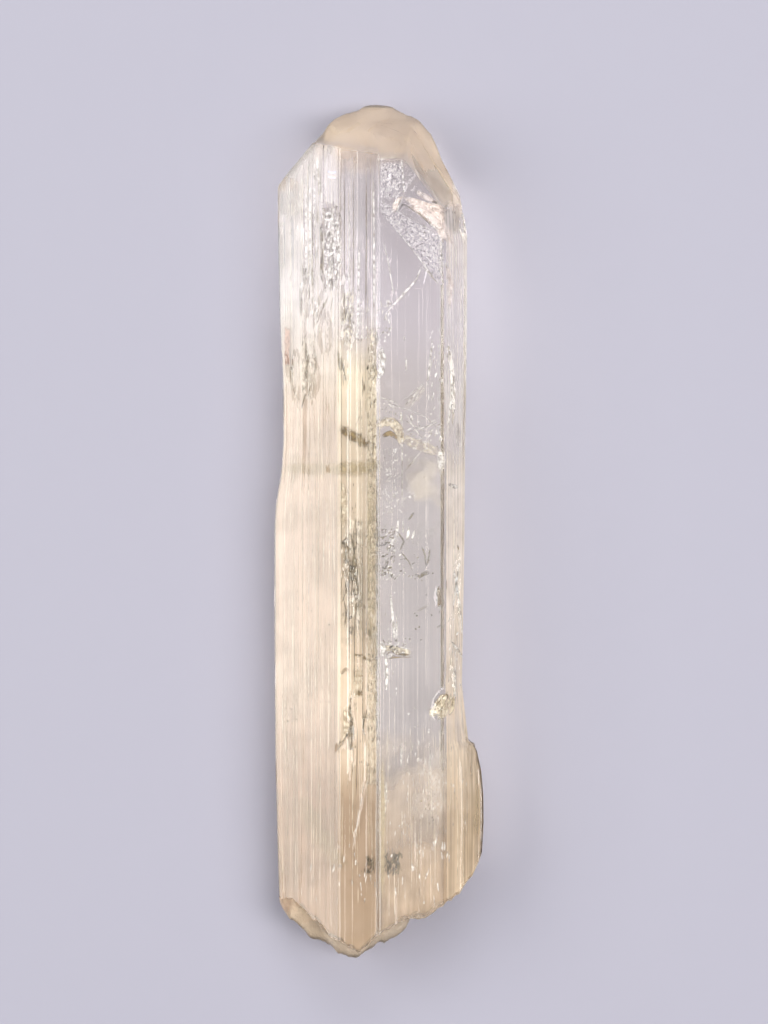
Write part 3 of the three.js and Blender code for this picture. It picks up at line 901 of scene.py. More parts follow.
# The level of the front over x, along the straight facets of the section.
def frontLevel(x):
    corners = ("leftFront", "stripLow", "stripEnd", "windowStart", "windowEnd", "bevelEnd")
    table = np.array([section[corner] for corner in corners])
    return np.interp(x, table[:, 0], table[:, 1])


# The place across the straight section that swings out to x at the level y.
def straightened(x, y):
    leftWidth, leftOut = halfWide + swing["left"], levelAt(leftEdge, y) + halfWide
    rightWidth, rightOut = swing["rightEnd"] - swing["right"], levelAt(rightEdge, y) - swing["rightEnd"]
    left = (x - swing["left"] * leftOut / leftWidth) / (1 - leftOut / leftWidth)
    right = (x + swing["right"] * rightOut / rightWidth) / (1 + rightOut / rightWidth)
    straight = np.where(x < swing["left"], left, np.where(x > swing["right"], right, x))
    return np.clip(straight, *swing["limits"])


# The height of the upper surface at a place: the lower of the front, given as its level, and the
# dome and the right shoulder solved for z, less the chip.
def upperLevel(front, x, y):
    centreX, centreY, centreZ = termination["domeCentre"]
    reach = np.clip(y - centreY, 0, 40)
    dome = centreZ + np.sqrt(termination["domeRadius"] ** 2 - (x - centreX) ** 2 - reach**2)
    pointX, pointY, pointZ = termination["shoulderPoint"]
    leanX, leanY, leanZ = termination["shoulderNormal"]
    shoulder = pointZ + ((pointY - y) * leanY - leanX * (x - pointX)) / leanZ
    return np.minimum.reduce([front, dome, shoulder]) - chipDepth(x, y)


# The upper surface over a place of the swung outline.
def surfaceLevel(x, y):
    return upperLevel(frontLevel(straightened(x, y)), x, y)


# A grid's places, and how far along and across it each one is, both as rows.
def gridRows(x, y, z, u, v):
    return np.stack([x, y, z], axis=-1).reshape(-1, 3), np.stack([u, v], axis=-1).reshape(-1, 2)


def unitGrid(columns, rows):
    return np.meshgrid(np.linspace(0, 1, columns), np.linspace(0, 1, rows))


# A place in the photo, in its pixels, as x and y under the front: distances from the middle of the
# view shrink with the nearness to the camera.
def fromPhoto(columnRow, deep):
    place = np.asarray(columnRow, dtype=float)
    middleX, middleY = viewMiddle()
    acrossX = (place[..., 0] - photo["width"] / 2) * photo["pixelSize"]
    acrossY = (photo["height"] / 2 - place[..., 1]) * photo["pixelSize"]
    x, y = middleX + acrossX, middleY + acrossY
    level = surfaceLevel(x, y) - deep
    nearness = (studio["cameraHeight"] - level) / (studio["cameraHeight"] - studio["outlineHeight"])
    return middleX + acrossX * nearness, middleY + acrossY * nearness


thinBump = 0.1        # height of the bumps on sheets, threads and ribbons, in millimetres


# Material of a piece that shows only where its alpha lets it: colours and cover come as sockets.
def thinMaterial(name, build, roughness=0.5):
    material, tree = freshMaterial(name)
    vector, x, y, z = placeSockets(tree)
    spread = addNode(tree, "ShaderNodeUVMap", uv_map="spread")
    spreadParts = addNode(tree, "ShaderNodeSeparateXYZ")
    linked(tree, spread.outputs[0], spreadParts.inputs[0])
    surface = addNode(tree, "ShaderNodeBsdfPrincipled")
    surface.inputs["Roughness"].default_value = roughness
    colour, cover, height = build(tree, vector, x, y, z, spreadParts.outputs[0], spreadParts.outputs[1])
    linked(tree, colour, surface.inputs["Base Color"])
    linked(tree, cover, surface.inputs["Alpha"])
    if height is not None:
        bump = addNode(tree, "ShaderNodeBump")
        bump.inputs["Distance"].default_value = thinBump * mm
        linked(tree, height, bump.inputs["Height"])
        linked(tree, bump.outputs[0], surface.inputs["Normal"])
    finishMaterial(tree, surface.outputs[0])
    return material


def addThinPiece(name, places, spread, faces, material):
    piece = meshPiece(name, places, faces, material)
    layer = piece.data.uv_layers.new(name="spread")
    corners = np.empty(len(piece.data.loops), dtype=np.int32)
    piece.data.loops.foreach_get("vertex_index", corners)
    layer.data.foreach_set("uv", spread[corners].ravel())
    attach(piece, "root")
    print(name + ":", len(places), "places")


# Milky sheets: dense bundles of growth tubes that follow the front facets just under them.
milkSheets = [
    {
        "name": "leftMilk", "x": (-10.95, -3.6), "below": 1.15, "columns": 34, "rows": 180, "turn": 1.0,
        "levels": [(-46, 0.84), (-20, 0.86), (14, 0.86), (21, 0.62), (30, 0.36), (42, 0.26)],
        # painted shade: this sheet's colour darkens towards its right side
        "swing": 0.16, "across": 1300.0, "along": 3.0, "fineness": 2.7, "clouds": 0.5, "paintedRightShade": 0.55,
        "pale": [(-44, (0.38, 0.27, 0.185)), (-28, (0.42, 0.295, 0.215)), (-18, (0.60, 0.475, 0.38)),
                 (0, (0.60, 0.48, 0.395)), (12, (0.61, 0.49, 0.405)), (18, (0.76, 0.67, 0.59)),
                 (25, (0.84, 0.79, 0.78)), (42, (0.74, 0.68, 0.70))],
        "deep": 0.80,
    },
    {
        "name": "stripMilk", "x": (-4.3, -0.02), "below": 1.05, "columns": 26, "rows": 180, "turn": 2.0,
        "levels": [(-46, 0.8), (-26, 0.84), (-16, 0.9), (17, 0.88), (21, 0.30), (24, 0.10), (42, 0.12)],
        "swing": 0.05, "across": 1900.0, "along": 5.0, "fineness": 2.2, "clouds": 0.4,
        # the dark brown towards the foot is partly the crystal's own colour and partly painted shadow
        "pale": [(-44, (0.44, 0.335, 0.245)), (-29, (0.46, 0.345, 0.25)), (-24, (0.80, 0.66, 0.52)),
                 (-16, (0.80, 0.67, 0.53)), (-4, (0.64, 0.53, 0.415)), (10, (0.69, 0.59, 0.465)),
                 (17, (0.82, 0.73, 0.59)),
                 # painted shade: these greys near the termination stand for dark surroundings seen through
                 # the clear crystal
                 (26, (0.50, 0.465, 0.46)), (42, (0.42, 0.385, 0.385))],
        "deep": 0.965,
    },
    {
        "name": "bevelMilk", "x": (6.95, 9.25), "below": 0.7, "columns": 16, "rows": 160, "turn": 3.0,
        "levels": [(-46, 0.75), (-22, 0.6), (-4, 0.65), (7, 0.75), (9, 0.22), (22, 0.3), (30, 0.55),
                   (42, 0.6)],
        "swing": 0.5, "across": 1400.0, "along": 16.0, "fineness": 2.6, "clouds": 0.7,
        "pale": [(-44, (0.56, 0.45, 0.33)), (-28, (0.60, 0.49, 0.37)), (-10, (0.76, 0.67, 0.58)),
                 (20, (0.70, 0.67, 0.67)), (40, (0.72, 0.64, 0.58))],
        "deep": 0.9,
    },
    {
        "name": "footMilk", "x": (-10.9, 9.1), "below": 2.0, "columns": 60, "rows": 90, "turn": 4.0,
        "levels": [(-46, 0.85), (-36, 0.72), (-31, 0.5), (-26, 0.26), (-20, 0.0), (42, 0.0)],
        "swing": 0.14, "across": 900.0, "along": 90.0, "fineness": 3.0, "clouds": 1.1,
        # these warm browns are partly the crystal's own colour and partly painted warm light and shadow at
        # the foot
        "pale": [(-46, (0.50, 0.38, 0.27)), (-36, (0.53, 0.41, 0.30)), (-22, (0.68, 0.57, 0.47))],
        "deep": 0.9, "top": -19.0,
    },
    {
        "name": "capMilk", "x": (-5.4, 4.4), "below": 0.6, "columns": 40, "rows": 40, "turn": 6.0,
        "levels": [(-46, 0.0), (37.6, 0.0), (40.4, 0.55), (43, 0.8), (46, 0.8)],
        "swing": 0.1, "across": 900.0, "along": 500.0, "fineness": 2.2, "clouds": 1.0,
        "pale": [(-46, (0.60, 0.48, 0.37)), (46, (0.60, 0.48, 0.37))],
        "deep": 0.94, "bottom": 36.0, "edge": 0.16,
    },
]


milkHabit = {
    "footGap": 0.14, "topGap": 0.3,                # how far a sheet stays from both ends
    "wave": 0.06, "lowest": 0.5,
    "cloudScale": 210.0, "cloudRise": (0.36, 0.62, 0.0, 0.75), "streakShare": 0.45,
    "deepTint": (1.0, 0.97, 0.9),
    # painted shade: the darkening of a sheet's right side
    "paintedShadeFrom": (0.25, 0.9),                      # where the shade of the right side comes in over u
    "edge": 0.03, "footEdge": (0.0, 0.004), "topEdge": (1.0, 0.985), "present": (0.0, 0.12),
}


# Sheet over u across and v along: x runs from edge to edge and swings with the outline, y runs from the
# foot to the termination at that x, and z is the front's level less the depth, waved by soft noise.
def milkSheet(sheet):
    u, v = unitGrid(sheet["columns"], sheet["rows"])
    flatX = sheet["x"][0] + u * (sheet["x"][1] - sheet["x"][0])
    z = frontLevel(flatX) - sheet["below"]
    low = endLevel(bottomLevel, flatX, z) + milkHabit["footGap"]
    high = endLevel(topLevel, flatX, z) - milkHabit["topGap"]
    low = np.maximum(low, sheet.get("bottom", -halfLong))
    high = np.minimum(high, sheet.get("top", halfLong))
    y = low + v * (high - low)
    x = swung(flatX, y)
    z = z - milkHabit["wave"] * softNoise(x * 0.9 + 9, y * 0.16, sheet["turn"])
    faces = gridQuads(sheet["rows"], sheet["columns"], False).tolist()
    return *gridRows(x, y, np.maximum(z, milkHabit["lowest"]), u, v), faces


# A colour ramp or a line of numbers over y, in millimetres.
def overLevels(tree, y, stops, colours):
    low, high = stops[0][0], stops[-1][0]
    share = addNode(tree, "ShaderNodeMapRange")
    linked(tree, y, share.inputs["Value"])
    share.inputs["From Min"].default_value = low
    share.inputs["From Max"].default_value = high
    ramp = addNode(tree, "ShaderNodeValToRGB")
    linked(tree, share.outputs["Result"], ramp.inputs["Fac"])
    elements = ramp.color_ramp.elements
    while len(elements) < len(stops):
        elements.new(0.5)
    for element, (level, value) in zip(elements, stops):
        element.position = (level - low) / (high - low)
        element.color = (*value, 1) if colours else (value, value, value, 1)
    return ramp.outputs["Color"]


# Pale growth over y, darker where streaks and clouds are low, and darkened towards the right by painted
# shade; see-through by levels over y that streaks and clouds sway. Its four edges fade.
def milkMaterial(sheet):
    def build(tree, vector, x, y, z, u, v):
        streaks = placeGroup(tree, streakGroup, vector, Across=sheet["across"], Along=sheet["along"],
                             Fineness=sheet["fineness"])
        clouds = noiseFrom(tree, vector, milkHabit["cloudScale"], 2.0, 0.6)
        pale = overLevels(tree, y, sheet["pale"], True)
        deep = addNode(tree, "ShaderNodeMix", data_type="RGBA", blend_type="MULTIPLY")
        deep.inputs[0].default_value = 1.0
        linked(tree, pale, deep.inputs[6])
        deep.inputs[7].default_value = (*(sheet["deep"] * part for part in milkHabit["deepTint"]), 1)
        patchy = nodeRise(tree, clouds, *milkHabit["cloudRise"])
        share = reckon(tree, "MULTIPLY_ADD", streaks["Mask"], milkHabit["streakShare"], patchy)
        # painted shade: the colour falls towards the right side of the sheet
        darker = nodeRise(tree, u, *milkHabit["paintedShadeFrom"], 0.0, sheet.get("paintedRightShade", 0.0))
        share = reckon(tree, "SUBTRACT", share, darker, clamp=True)
        colour = mixColours(tree, share, deep.outputs[2], pale)
        cover = overLevels(tree, y, sheet["levels"], False)
        varied = swayed(tree, streaks["Mask"], sheet["swing"], cover)
        varied = swayed(tree, clouds, sheet["clouds"], varied, clamp=True)
        edge = sheet.get("edge", milkHabit["edge"])
        edges = product(tree, nodeBand(tree, u, (0.0, edge), (1.0, 1 - edge)),
                        nodeRise(tree, v, *milkHabit["footEdge"]), nodeRise(tree, v, *milkHabit["topEdge"]))
        return colour, product(tree, varied, edges, nodeRise(tree, cover, *milkHabit["present"])), None
    return thinMaterial(sheet["name"] + "Growth", build)


for sheet in milkSheets:
    addThinPiece(sheet["name"], *milkSheet(sheet), milkMaterial(sheet))


endVeils = [
    {
        "name": "capVeil", "level": topLevel, "across": (-6.0, 8.3), "inset": -0.4, "low": 1.0,
        "columns": 60, "rows": 40, "light": (0.66, 0.55, 0.44), "dark": (0.50, 0.39, 0.29), "cover": 0.74,
    },
    {
        "name": "footVeil", "level": bottomLevel, "across": (-10.9, 9.15), "inset": 0.22, "low": 0.7,
        "columns": 90, "rows": 40, "light": (0.68, 0.58, 0.46), "dark": (0.50, 0.40, 0.30), "cover": 0.6,
    },
]


# Frosted skin inside an end of the crystal: over u across and w from the back to the front, y is the
# level of that end, moved in by the inset.
def endSheet(veil):
    u, w = unitGrid(veil["columns"], veil["rows"])
    flatX = veil["across"][0] + u * (veil["across"][1] - veil["across"][0])
    z = veil["low"] + w * (frontLevel(flatX) - 0.5 - veil["low"])
    y = endLevel(veil["level"], flatX, z) + veil["inset"]
    faces = gridQuads(veil["rows"], veil["columns"], False).tolist()
    return *gridRows(swung(flatX, y), y, z, u, w), faces


# Frost in small patches: the distances of a cell pattern on top of clouds.
def endMaterial(veil):
    def build(tree, vector, x, y, z, u, w):
        clouds = noiseFrom(tree, vector, 260.0, 3.0, 0.55)
        facets = addNode(tree, "ShaderNodeTexVoronoi")
        linked(tree, vector, facets.inputs["Vector"])
        facets.inputs["Scale"].default_value = 330.0
        patches = reckon(tree, "MULTIPLY_ADD", facets.outputs["Distance"], 0.35, clouds)
        colour = mixColours(tree, nodeRise(tree, patches, 0.4, 0.85), veil["dark"], veil["light"])
        cover = swayed(tree, clouds, 0.6, veil["cover"], clamp=True)
        edges = product(tree, nodeBand(tree, u, (0.0, 0.03), (1.0, 0.98)),
                        nodeRise(tree, w, 1.0, 0.9, 0.3, 1.0))
        return colour, product(tree, cover, edges), clouds
    return thinMaterial(veil["name"] + "Frost", build, 0.7)


for veil in endVeils:
    addThinPiece(veil["name"], *endSheet(veil), endMaterial(veil))

# Worm-etched patches: short wriggling strokes of pale and dark between four corners in the photo's
# pixels, given round from the upper left. "soft" is the share of the patch that its ragged edge takes.
wormPatches = [
    {"name": "etchedPanel", "corners": [(379.5, 163), (402, 163), (402, 198), (379.5, 198)], "deep": 0.4,
     "cover": 0.85, "light": (0.80, 0.77, 0.78), "dark": (0.13, 0.11, 0.13), "soft": 0.05,
     "across": 4600.0, "along": 3300.0},
    {"name": "frostedCorner", "corners": [(380, 200), (443, 238), (442, 287), (379.5, 212)], "deep": 0.4,
     "cover": 0.8, "light": (0.80, 0.77, 0.78), "dark": (0.14, 0.12, 0.14), "soft": 0.03,
     "across": 4600.0, "along": 3300.0},
    {"name": "etchedLeaf", "corners": [(322, 207), (339, 205), (339.5, 291), (325, 293)], "deep": 0.6,
     "cover": 0.95, "light": (0.96, 0.93, 0.92), "dark": (0.12, 0.10, 0.09), "soft": 0.15},
    {"name": "etchedStrip", "corners": [(337, 286), (357, 288), (355, 350), (341, 352)], "deep": 0.6,
     "cover": 0.85, "light": (0.94, 0.88, 0.74), "dark": (0.24, 0.21, 0.17), "soft": 0.5},
    {"name": "etchedBorder", "corners": [(367, 326), (378, 326), (378, 786), (367, 786)], "deep": 0.6,
     "cover": 0.75, "light": (0.84, 0.76, 0.62), "dark": (0.22, 0.19, 0.14), "soft": 0.4},
    {"name": "etchedCore", "corners": [(341, 500), (369, 520), (370, 640), (341, 655)], "deep": 0.7,
     "cover": 0.7, "light": (0.93, 0.86, 0.73), "dark": (0.20, 0.17, 0.12), "soft": 0.6, "across": 2600.0,
     "along": 800.0},
    {"name": "etchedPit", "corners": [(299, 335), (319, 335), (317, 402), (302, 402)], "deep": 0.6,
     "cover": 0.6, "light": (0.90, 0.82, 0.70), "dark": (0.36, 0.32, 0.25), "soft": 0.5},
    {"name": "edgePatch", "corners": [(284, 324), (293, 326), (292, 366), (284, 368)], "deep": 0.5,
     "cover": 0.8, "light": (0.46, 0.29, 0.21), "dark": (0.22, 0.12, 0.08), "soft": 0.5, "plain": True},
    {"name": "upperLobe", "corners": [(404, 198), (440, 205), (457, 216), (452, 243)], "deep": 0.7,
     "cover": 0.75, "light": (0.97, 0.88, 0.83), "dark": (0.84, 0.72, 0.66), "soft": 0.12, "plain": True},
    {"name": "rightLobe", "corners": [(449, 184), (455, 190), (459, 226), (445, 236)], "deep": 0.6,
     "cover": 0.8, "light": (0.97, 0.88, 0.83), "dark": (0.84, 0.72, 0.66), "soft": 0.2, "plain": True},
    {"name": "footCloud", "corners": [(412, 748), (458, 744), (462, 820), (406, 835)], "deep": 0.8,
     "cover": 0.4, "light": (0.94, 0.90, 0.84), "dark": (0.70, 0.62, 0.52), "soft": 0.9},
    {"name": "warmCloud", "corners": [(402, 456), (446, 452), (446, 512), (404, 516)], "deep": 1.6,
     "cover": 0.38, "light": (0.62, 0.54, 0.42), "dark": (0.56, 0.48, 0.36), "soft": 0.9, "plain": True},
    {"name": "greyCloud", "corners": [(404, 514), (446, 518), (446, 548), (406, 546)], "deep": 1.6,
     "cover": 0.36, "light": (0.36, 0.34, 0.33), "dark": (0.26, 0.24, 0.24), "soft": 0.9, "plain": True},
]


# Growth tubes: hair-fine threads along the crystal. Each is three-sided and a few spans long.
threads = [
    {
        "name": "paleThreads", "count": 340, "seed": 4, "sides": 3, "rings": 8, "thick": (0.012, 0.03),
        "bands": [  # share of the threads, x from and to, y from and to, length, depth below the front
            (0.34, (-10.6, -4.3), (-38, 38), (8, 34), (0.34, 1.1)),
            (0.14, (-3.9, -0.1), (-38, 36), (6, 20), (0.34, 0.9)),
            (0.10, (0.2, 6.8), (-36, -20), (2, 9), (0.5, 3.0)),
            (0.16, (-9.0, 8.4), (-42, -26), (2, 10), (0.4, 2.6)),
            (0.10, (7.2, 9.0), (-34, 33), (4, 16), (0.34, 0.8)),
        ],
        "colour": (0.97, 0.92, 0.80),
    },
    {
        "name": "darkThreads", "count": 190, "seed": 9, "sides": 3, "rings": 8, "thick": (0.012, 0.024),
        "bands": [
            (0.5, (-10.4, -4.2), (-34, 12), (6, 26), (0.32, 0.42)),
            (0.12, (-7.8, -4.2), (8, 36), (6, 26), (0.32, 0.42)),
            (0.38, (-4.0, -0.1), (-34, 40), (5, 18), (0.32, 0.42)),
        ],
        "colour": (0.40, 0.33, 0.22),
    },
]


# Thread over a ring angle and a length share: its middle line runs along y with a slight lean and
# wave, and its radius is the thickness times the square root of sin(pi times the share).
def threadGrid(group):
    draw = np.random.default_rng(group["seed"])
    shares = np.array([band[0] for band in group["bands"]])
    pick = draw.choice(len(shares), size=group["count"], p=shares / shares.sum())
    limits = np.array([[*band[1], *band[2], *band[3], *band[4]] for band in group["bands"]])[pick]
    chance = draw.random((group["count"], 6))
    x = limits[:, 0] + chance[:, 0] * (limits[:, 1] - limits[:, 0])
    middle = limits[:, 2] + chance[:, 1] * (limits[:, 3] - limits[:, 2])
    length = limits[:, 4] + chance[:, 2] ** 2 * (limits[:, 5] - limits[:, 4])
    depth = limits[:, 6] + chance[:, 3] * (limits[:, 7] - limits[:, 6])
    thick = group["thick"][0] + chance[:, 4] ** 2 * (group["thick"][1] - group["thick"][0])
    share = np.linspace(0.02, 0.98, group["rings"])
    angle = np.arange(group["sides"]) * 2 * math.pi / group["sides"]
    y = middle[:, None] + (share - 0.5) * length[:, None]
    centreX = x[:, None] + 0.02 * np.sin(y * 0.7 + chance[:, 5, None] * 9)
    level = frontLevel(centreX) - depth[:, None]
    y = np.clip(y, bottomLevel(centreX, level) + 1.2, topLevel(centreX, level) - 1.0)
    centreX = swung(centreX, y)
    radius = thick[:, None] * np.sqrt(np.sin(math.pi * share))
    placeX = centreX[..., None] + radius[..., None] * np.cos(angle)
    placeZ = np.maximum(level, 0.6)[..., None] + radius[..., None] * np.sin(angle)
    placeY = np.broadcast_to(y[..., None], placeX.shape)
    around = np.broadcast_to(angle / (2 * math.pi), placeX.shape)
    lengthwise = np.broadcast_to(share[None, :, None], placeX.shape)
    block = group["rings"] * group["sides"]
    quads = gridQuads(group["rings"], group["sides"], True)
    faces = (quads[None] + np.arange(group["count"])[:, None, None] * block).reshape(-1, 4)
    return *gridRows(placeX, placeY, placeZ, around, lengthwise), faces.tolist()


# Nearly even in colour and broken along the thread by grains; both of its ends fade.
def threadMaterial(group):
    def build(tree, vector, x, y, z, u, v):
        grains = noiseFrom(tree, vector, 700.0, 2.0, 0.6)
        dim = tuple(part * 0.82 for part in group["colour"])
        colour = mixColours(tree, grains, dim, group["colour"])
        cover = product(tree, nodeBand(tree, v, (0.0, 0.2), (1.0, 0.8)), nodeRise(tree, grains, 0.25, 0.55))
        return colour, cover, grains
    return thinMaterial(group["name"] + "Hair", build, 0.35)


for group in threads:
    addThinPiece(group["name"], *threadGrid(group), threadMaterial(group))


# Cracks, feathers, stains and etched marks, and some painted highlights and shadows, are ribbons along routes
# read off the photo, in its pixels.
# "wide" is the full width in pixels, "deep" millimetres under the front, "lean" 0 flat to 90 on edge.
shallowest = 0.55        # deeper than the growth steps, so that nothing comes through the front
endGap = 0.25            # how far the ribbons stay from both ends


def mark(route, wide, deep=0.9, lean=20, cover=1.0):
    deep = max(deep, shallowest)
    return {"route": route, "wide": wide, "deep": deep, "lean": lean, "cover": cover}


whiteFeathersAndHighlights = [
    mark([(404, 420), (425, 432)], 1.6, 1.2, 40, 0.8),
    mark([(403, 433), (422, 428), (440, 422)], 1.6, 1.3, 40, 0.6),
    mark([(427, 386), (430, 362), (432, 340)], 3, 1.2, 40, 0.9),
    mark([(403, 407), (413, 397), (424, 383)], 1.6, 1.0, 40, 0.7),
    mark([(407, 411), (416, 399), (425, 385)], 1.4, 1.1, 40, 0.6),
    mark([(400, 402), (411, 394), (424, 382)], 1.2, 0.9, 40, 0.5),
    mark([(381, 400), (402, 408), (424, 416), (442, 432)], 1.2, 1.0, 40, 0.5),
    mark([(405, 412), (414, 428), (424, 441)], 1.2, 1.0, 40, 0.6),
    mark([(383, 240), (388, 262), (392, 285), (394, 302)], 1.8, 1.0, 50, 0.7),
    mark([(423, 262), (416, 280), (400, 298), (383, 316)], 2.6, 1.0, 35, 0.85),
    mark([(421, 265), (430, 275), (440, 286)], 1.7, 1.0, 50, 0.7),
    mark([(379, 397), (388, 400), (397, 403)], 1.5, 1.0, 50, 0.8),
    mark([(404, 472), (412, 462), (422, 450)], 1.6, 1.2, 50, 0.9),
    mark([(380, 346), (383, 361), (380, 378)], 8, 0.6, 10, 1.0),
    mark([(402, 411), (402, 512)], 1.3, 1.0, 50, 1.0),
    mark([(401, 411), (401, 423)], 3, 0.8, 30, 1.0),
    mark([(411, 413), (412, 422)], 3, 0.8, 30, 1.0),
    mark([(398, 519), (397, 534)], 2.8, 0.8, 30, 1.0),
    mark([(403, 520), (403, 534)], 2.2, 0.8, 30, 1.0),
    mark([(409, 526), (407, 541)], 3.6, 0.8, 30, 1.0),
    mark([(415, 529), (411, 541)], 2.8, 0.8, 30, 1.0),
    mark([(390, 592), (393, 620), (395, 646)], 3.4, 1.2, 30, 0.8),
    mark([(396, 612), (397, 644)], 2.0, 1.0, 30, 0.9),
    mark([(380, 641), (384, 650), (381, 657)], 7, 0.8, 10, 0.9),
    mark([(385, 652), (387, 672), (386, 692)], 3.4, 0.8, 25, 1.0),
    mark([(394, 214), (396, 205), (399, 199), (403, 197)], 6, 0.8, 10, 1.0),
    mark([(403, 198), (415, 207), (425, 218), (438, 230), (449, 242)], 3.4, 0.9, 25, 1.0),
    # painted highlights: the next two bright vertical lines on the strip
    mark([(374, 162), (374.5, 240), (374.5, 330)], 2.4, 0.5, 20, 0.9),
    mark([(350, 200), (350, 330)], 1.8, 0.5, 20, 0.7),
    mark([(307, 170), (307, 290)], 1.6, 0.5, 20, 0.8),
    mark([(311, 160), (311, 300)], 2.0, 0.5, 20, 0.9),
    mark([(315, 150), (315, 240)], 1.6, 0.5, 20, 0.8),
    mark([(404, 199), (399, 203), (396, 214)], 4, 0.7, 30, 1.0),
    mark([(379, 208), (410, 247), (441, 287)], 1.6, 0.5, 20, 0.8),
    mark([(401, 158), (403, 178), (404, 196)], 2.6, 0.6, 20, 0.9),
    mark([(376, 161), (389, 158), (402, 158)], 3.5, 0.6, 20, 0.8),
    mark([(318, 152), (319, 178), (323, 206)], 4.5, 0.5, 10, 0.9),
    mark([(328, 207), (324, 235), (323, 262), (329, 291)], 2.2, 0.6, 20, 0.9),
    mark([(337, 212), (339, 240), (339, 291)], 2.8, 0.5, 15, 1.0),
    mark([(329, 212), (334, 222), (337, 232)], 8, 0.7, 10, 0.6),
    mark([(326, 230), (331, 246), (335, 262)], 2.2, 0.7, 30, 0.9),
    mark([(325, 250), (330, 262), (331, 278)], 2.4, 0.7, 30, 0.9),
    mark([(332, 236), (330, 256), (335, 280)], 2.0, 0.7, 30, 0.8),
    # painted highlights: a bright line on the strip here, and in the next three marks bright slivers along
    # the right bevel
    mark([(360, 238), (359, 300), (359, 346)], 3.4, 0.5, 10, 0.7),
    mark([(451, 365), (451, 395), (447, 431)], 5, 0.6, 10, 1.0),
    mark([(452, 560), (458, 600), (461, 640)], 4.5, 0.6, 10, 0.9),
    mark([(460, 556), (455, 590), (452, 616)], 3.6, 0.6, 10, 0.8),
    mark([(448, 640), (455, 650), (462, 662)], 8, 0.7, 15, 0.7),
    mark([(454, 664), (454, 702)], 3.6, 0.5, 10, 1.0),
    mark([(443, 262), (447, 271)], 5, 0.6, 10, 0.9),
    mark([(440, 449), (441, 472)], 8, 0.7, 10, 0.7),
    mark([(446, 484), (457, 488)], 5, 0.6, 10, 0.8),
    mark([(365, 781), (361, 805), (357, 828), (353, 847)], 1.7, 0.6, 30, 1.0),
    mark([(401, 742), (401, 768)], 2.0, 0.8, 30, 0.7),
    mark([(430, 745), (430, 772)], 1.6, 0.8, 30, 0.7),
    mark([(386, 780), (385, 804), (382, 832)], 4.2, 0.7, 15, 0.8),
    mark([(379, 778), (382, 786), (379, 792)], 4.2, 0.7, 15, 0.8),
    mark([(404, 336), (404, 341)], 4, 1.0, 10, 0.7),
    mark([(406, 358), (406, 372)], 2.4, 1.0, 10, 0.9),
]
creamVeils = [
    mark([(376, 430), (383, 422), (392, 422), (399, 431), (402, 448)], 11, 1.1, 15, 0.75),
    mark([(396, 434), (412, 443), (428, 448), (445, 456)], 13, 1.2, 15, 0.42),
    mark([(404, 410), (415, 397), (426, 384)], 11, 1.3, 20, 0.16),
    mark([(377, 647), (392, 649), (413, 653)], 8, 0.9, 15, 0.9),
    mark([(447, 691), (438, 704), (430, 718)], 12, 0.7, 10, 1.0),
    mark([(450, 692), (445, 706), (438, 719)], 12, 0.8, 15, 1.0),
    mark([(452, 696), (450, 708), (446, 716)], 9, 0.8, 20, 1.0),
    mark([(346, 704), (348, 722), (344, 742)], 9, 0.6, 5, 0.7),
    mark([(343, 480), (345, 500), (344, 532)], 8, 0.6, 5, 0.6),
    mark([(357, 664), (359, 684), (358, 700)], 12, 0.7, 5, 0.6),
]
pinkLobes = [
    mark([(393.5, 215), (395, 206), (398, 200), (405, 196)], 6.5, 0.6, 5, 1.0),
    mark([(402, 198), (421, 204), (440, 211), (460, 215)], 8, 0.6, 20, 0.9),
    mark([(405, 202), (422, 213), (440, 226), (456, 236)], 9, 0.7, 10, 0.8),
    mark([(428, 208), (444, 219), (457, 232)], 11, 0.6, 15, 0.85),
    mark([(436, 228), (446, 238), (452, 246)], 9, 0.6, 10, 0.8),
    mark([(451, 186), (455, 208), (456, 238)], 10, 0.6, 10, 0.9),
    mark([(457, 186), (459, 204), (457, 224)], 9, 0.6, 10, 0.9),
    mark([(428, 145), (434, 156), (438, 168)], 5, 0.5, 10, 0.45),
    mark([(436, 158), (441, 172), (445, 184)], 8, 0.5, 10, 0.55),
    mark([(415, 190), (424, 197), (436, 203)], 6, 0.5, 10, 0.5),
    mark([(379, 144), (386, 141), (393, 137)], 8, 0.5, 10, 0.5),
    mark([(404, 148), (412, 160), (417, 176)], 4, 0.5, 10, 0.4),
    mark([(444, 262), (449, 280), (448, 310)], 10, 0.6, 5, 0.5),
]
brownStains = [
    mark([(340, 427), (349, 433), (358, 438), (368, 448)], 12, 0.7, 10, 1.0),
    mark([(366, 447), (372, 440), (378, 434)], 4, 0.7, 15, 0.9),
    mark([(381, 437), (390, 433), (399, 441)], 6, 0.9, 15, 0.9),
    mark([(353, 654), (363, 656), (373, 662)], 3.6, 0.7, 15, 0.9),
    mark([(341, 675), (346, 669), (352, 671)], 4.2, 0.7, 15, 0.6),
    mark([(357, 691), (361, 695)], 6, 0.7, 10, 1.0),
    mark([(455, 544), (457, 551)], 6, 0.6, 10, 0.8),
    mark([(352, 708), (353, 730), (349, 752)], 7, 0.75, 15, 0.65),
    mark([(388, 650), (398, 654), (411, 655)], 3.2, 0.9, 20, 0.9),
    mark([(445, 694), (448, 699)], 6, 0.55, 20, 1.0),
    mark([(449, 690), (440, 700), (431, 714)], 1.6, 0.55, 20, 0.8),
    mark([(385, 659), (398, 657), (413, 657)], 2.0, 0.7, 20, 0.8),
    mark([(470, 742), (475, 748)], 6, 0.8, 20, 0.7),
    mark([(481, 822), (482, 850)], 2.4, 0.8, 20, 0.5),
    mark([(356, 427), (361, 415)], 1.3, 0.6, 20, 0.9),
]
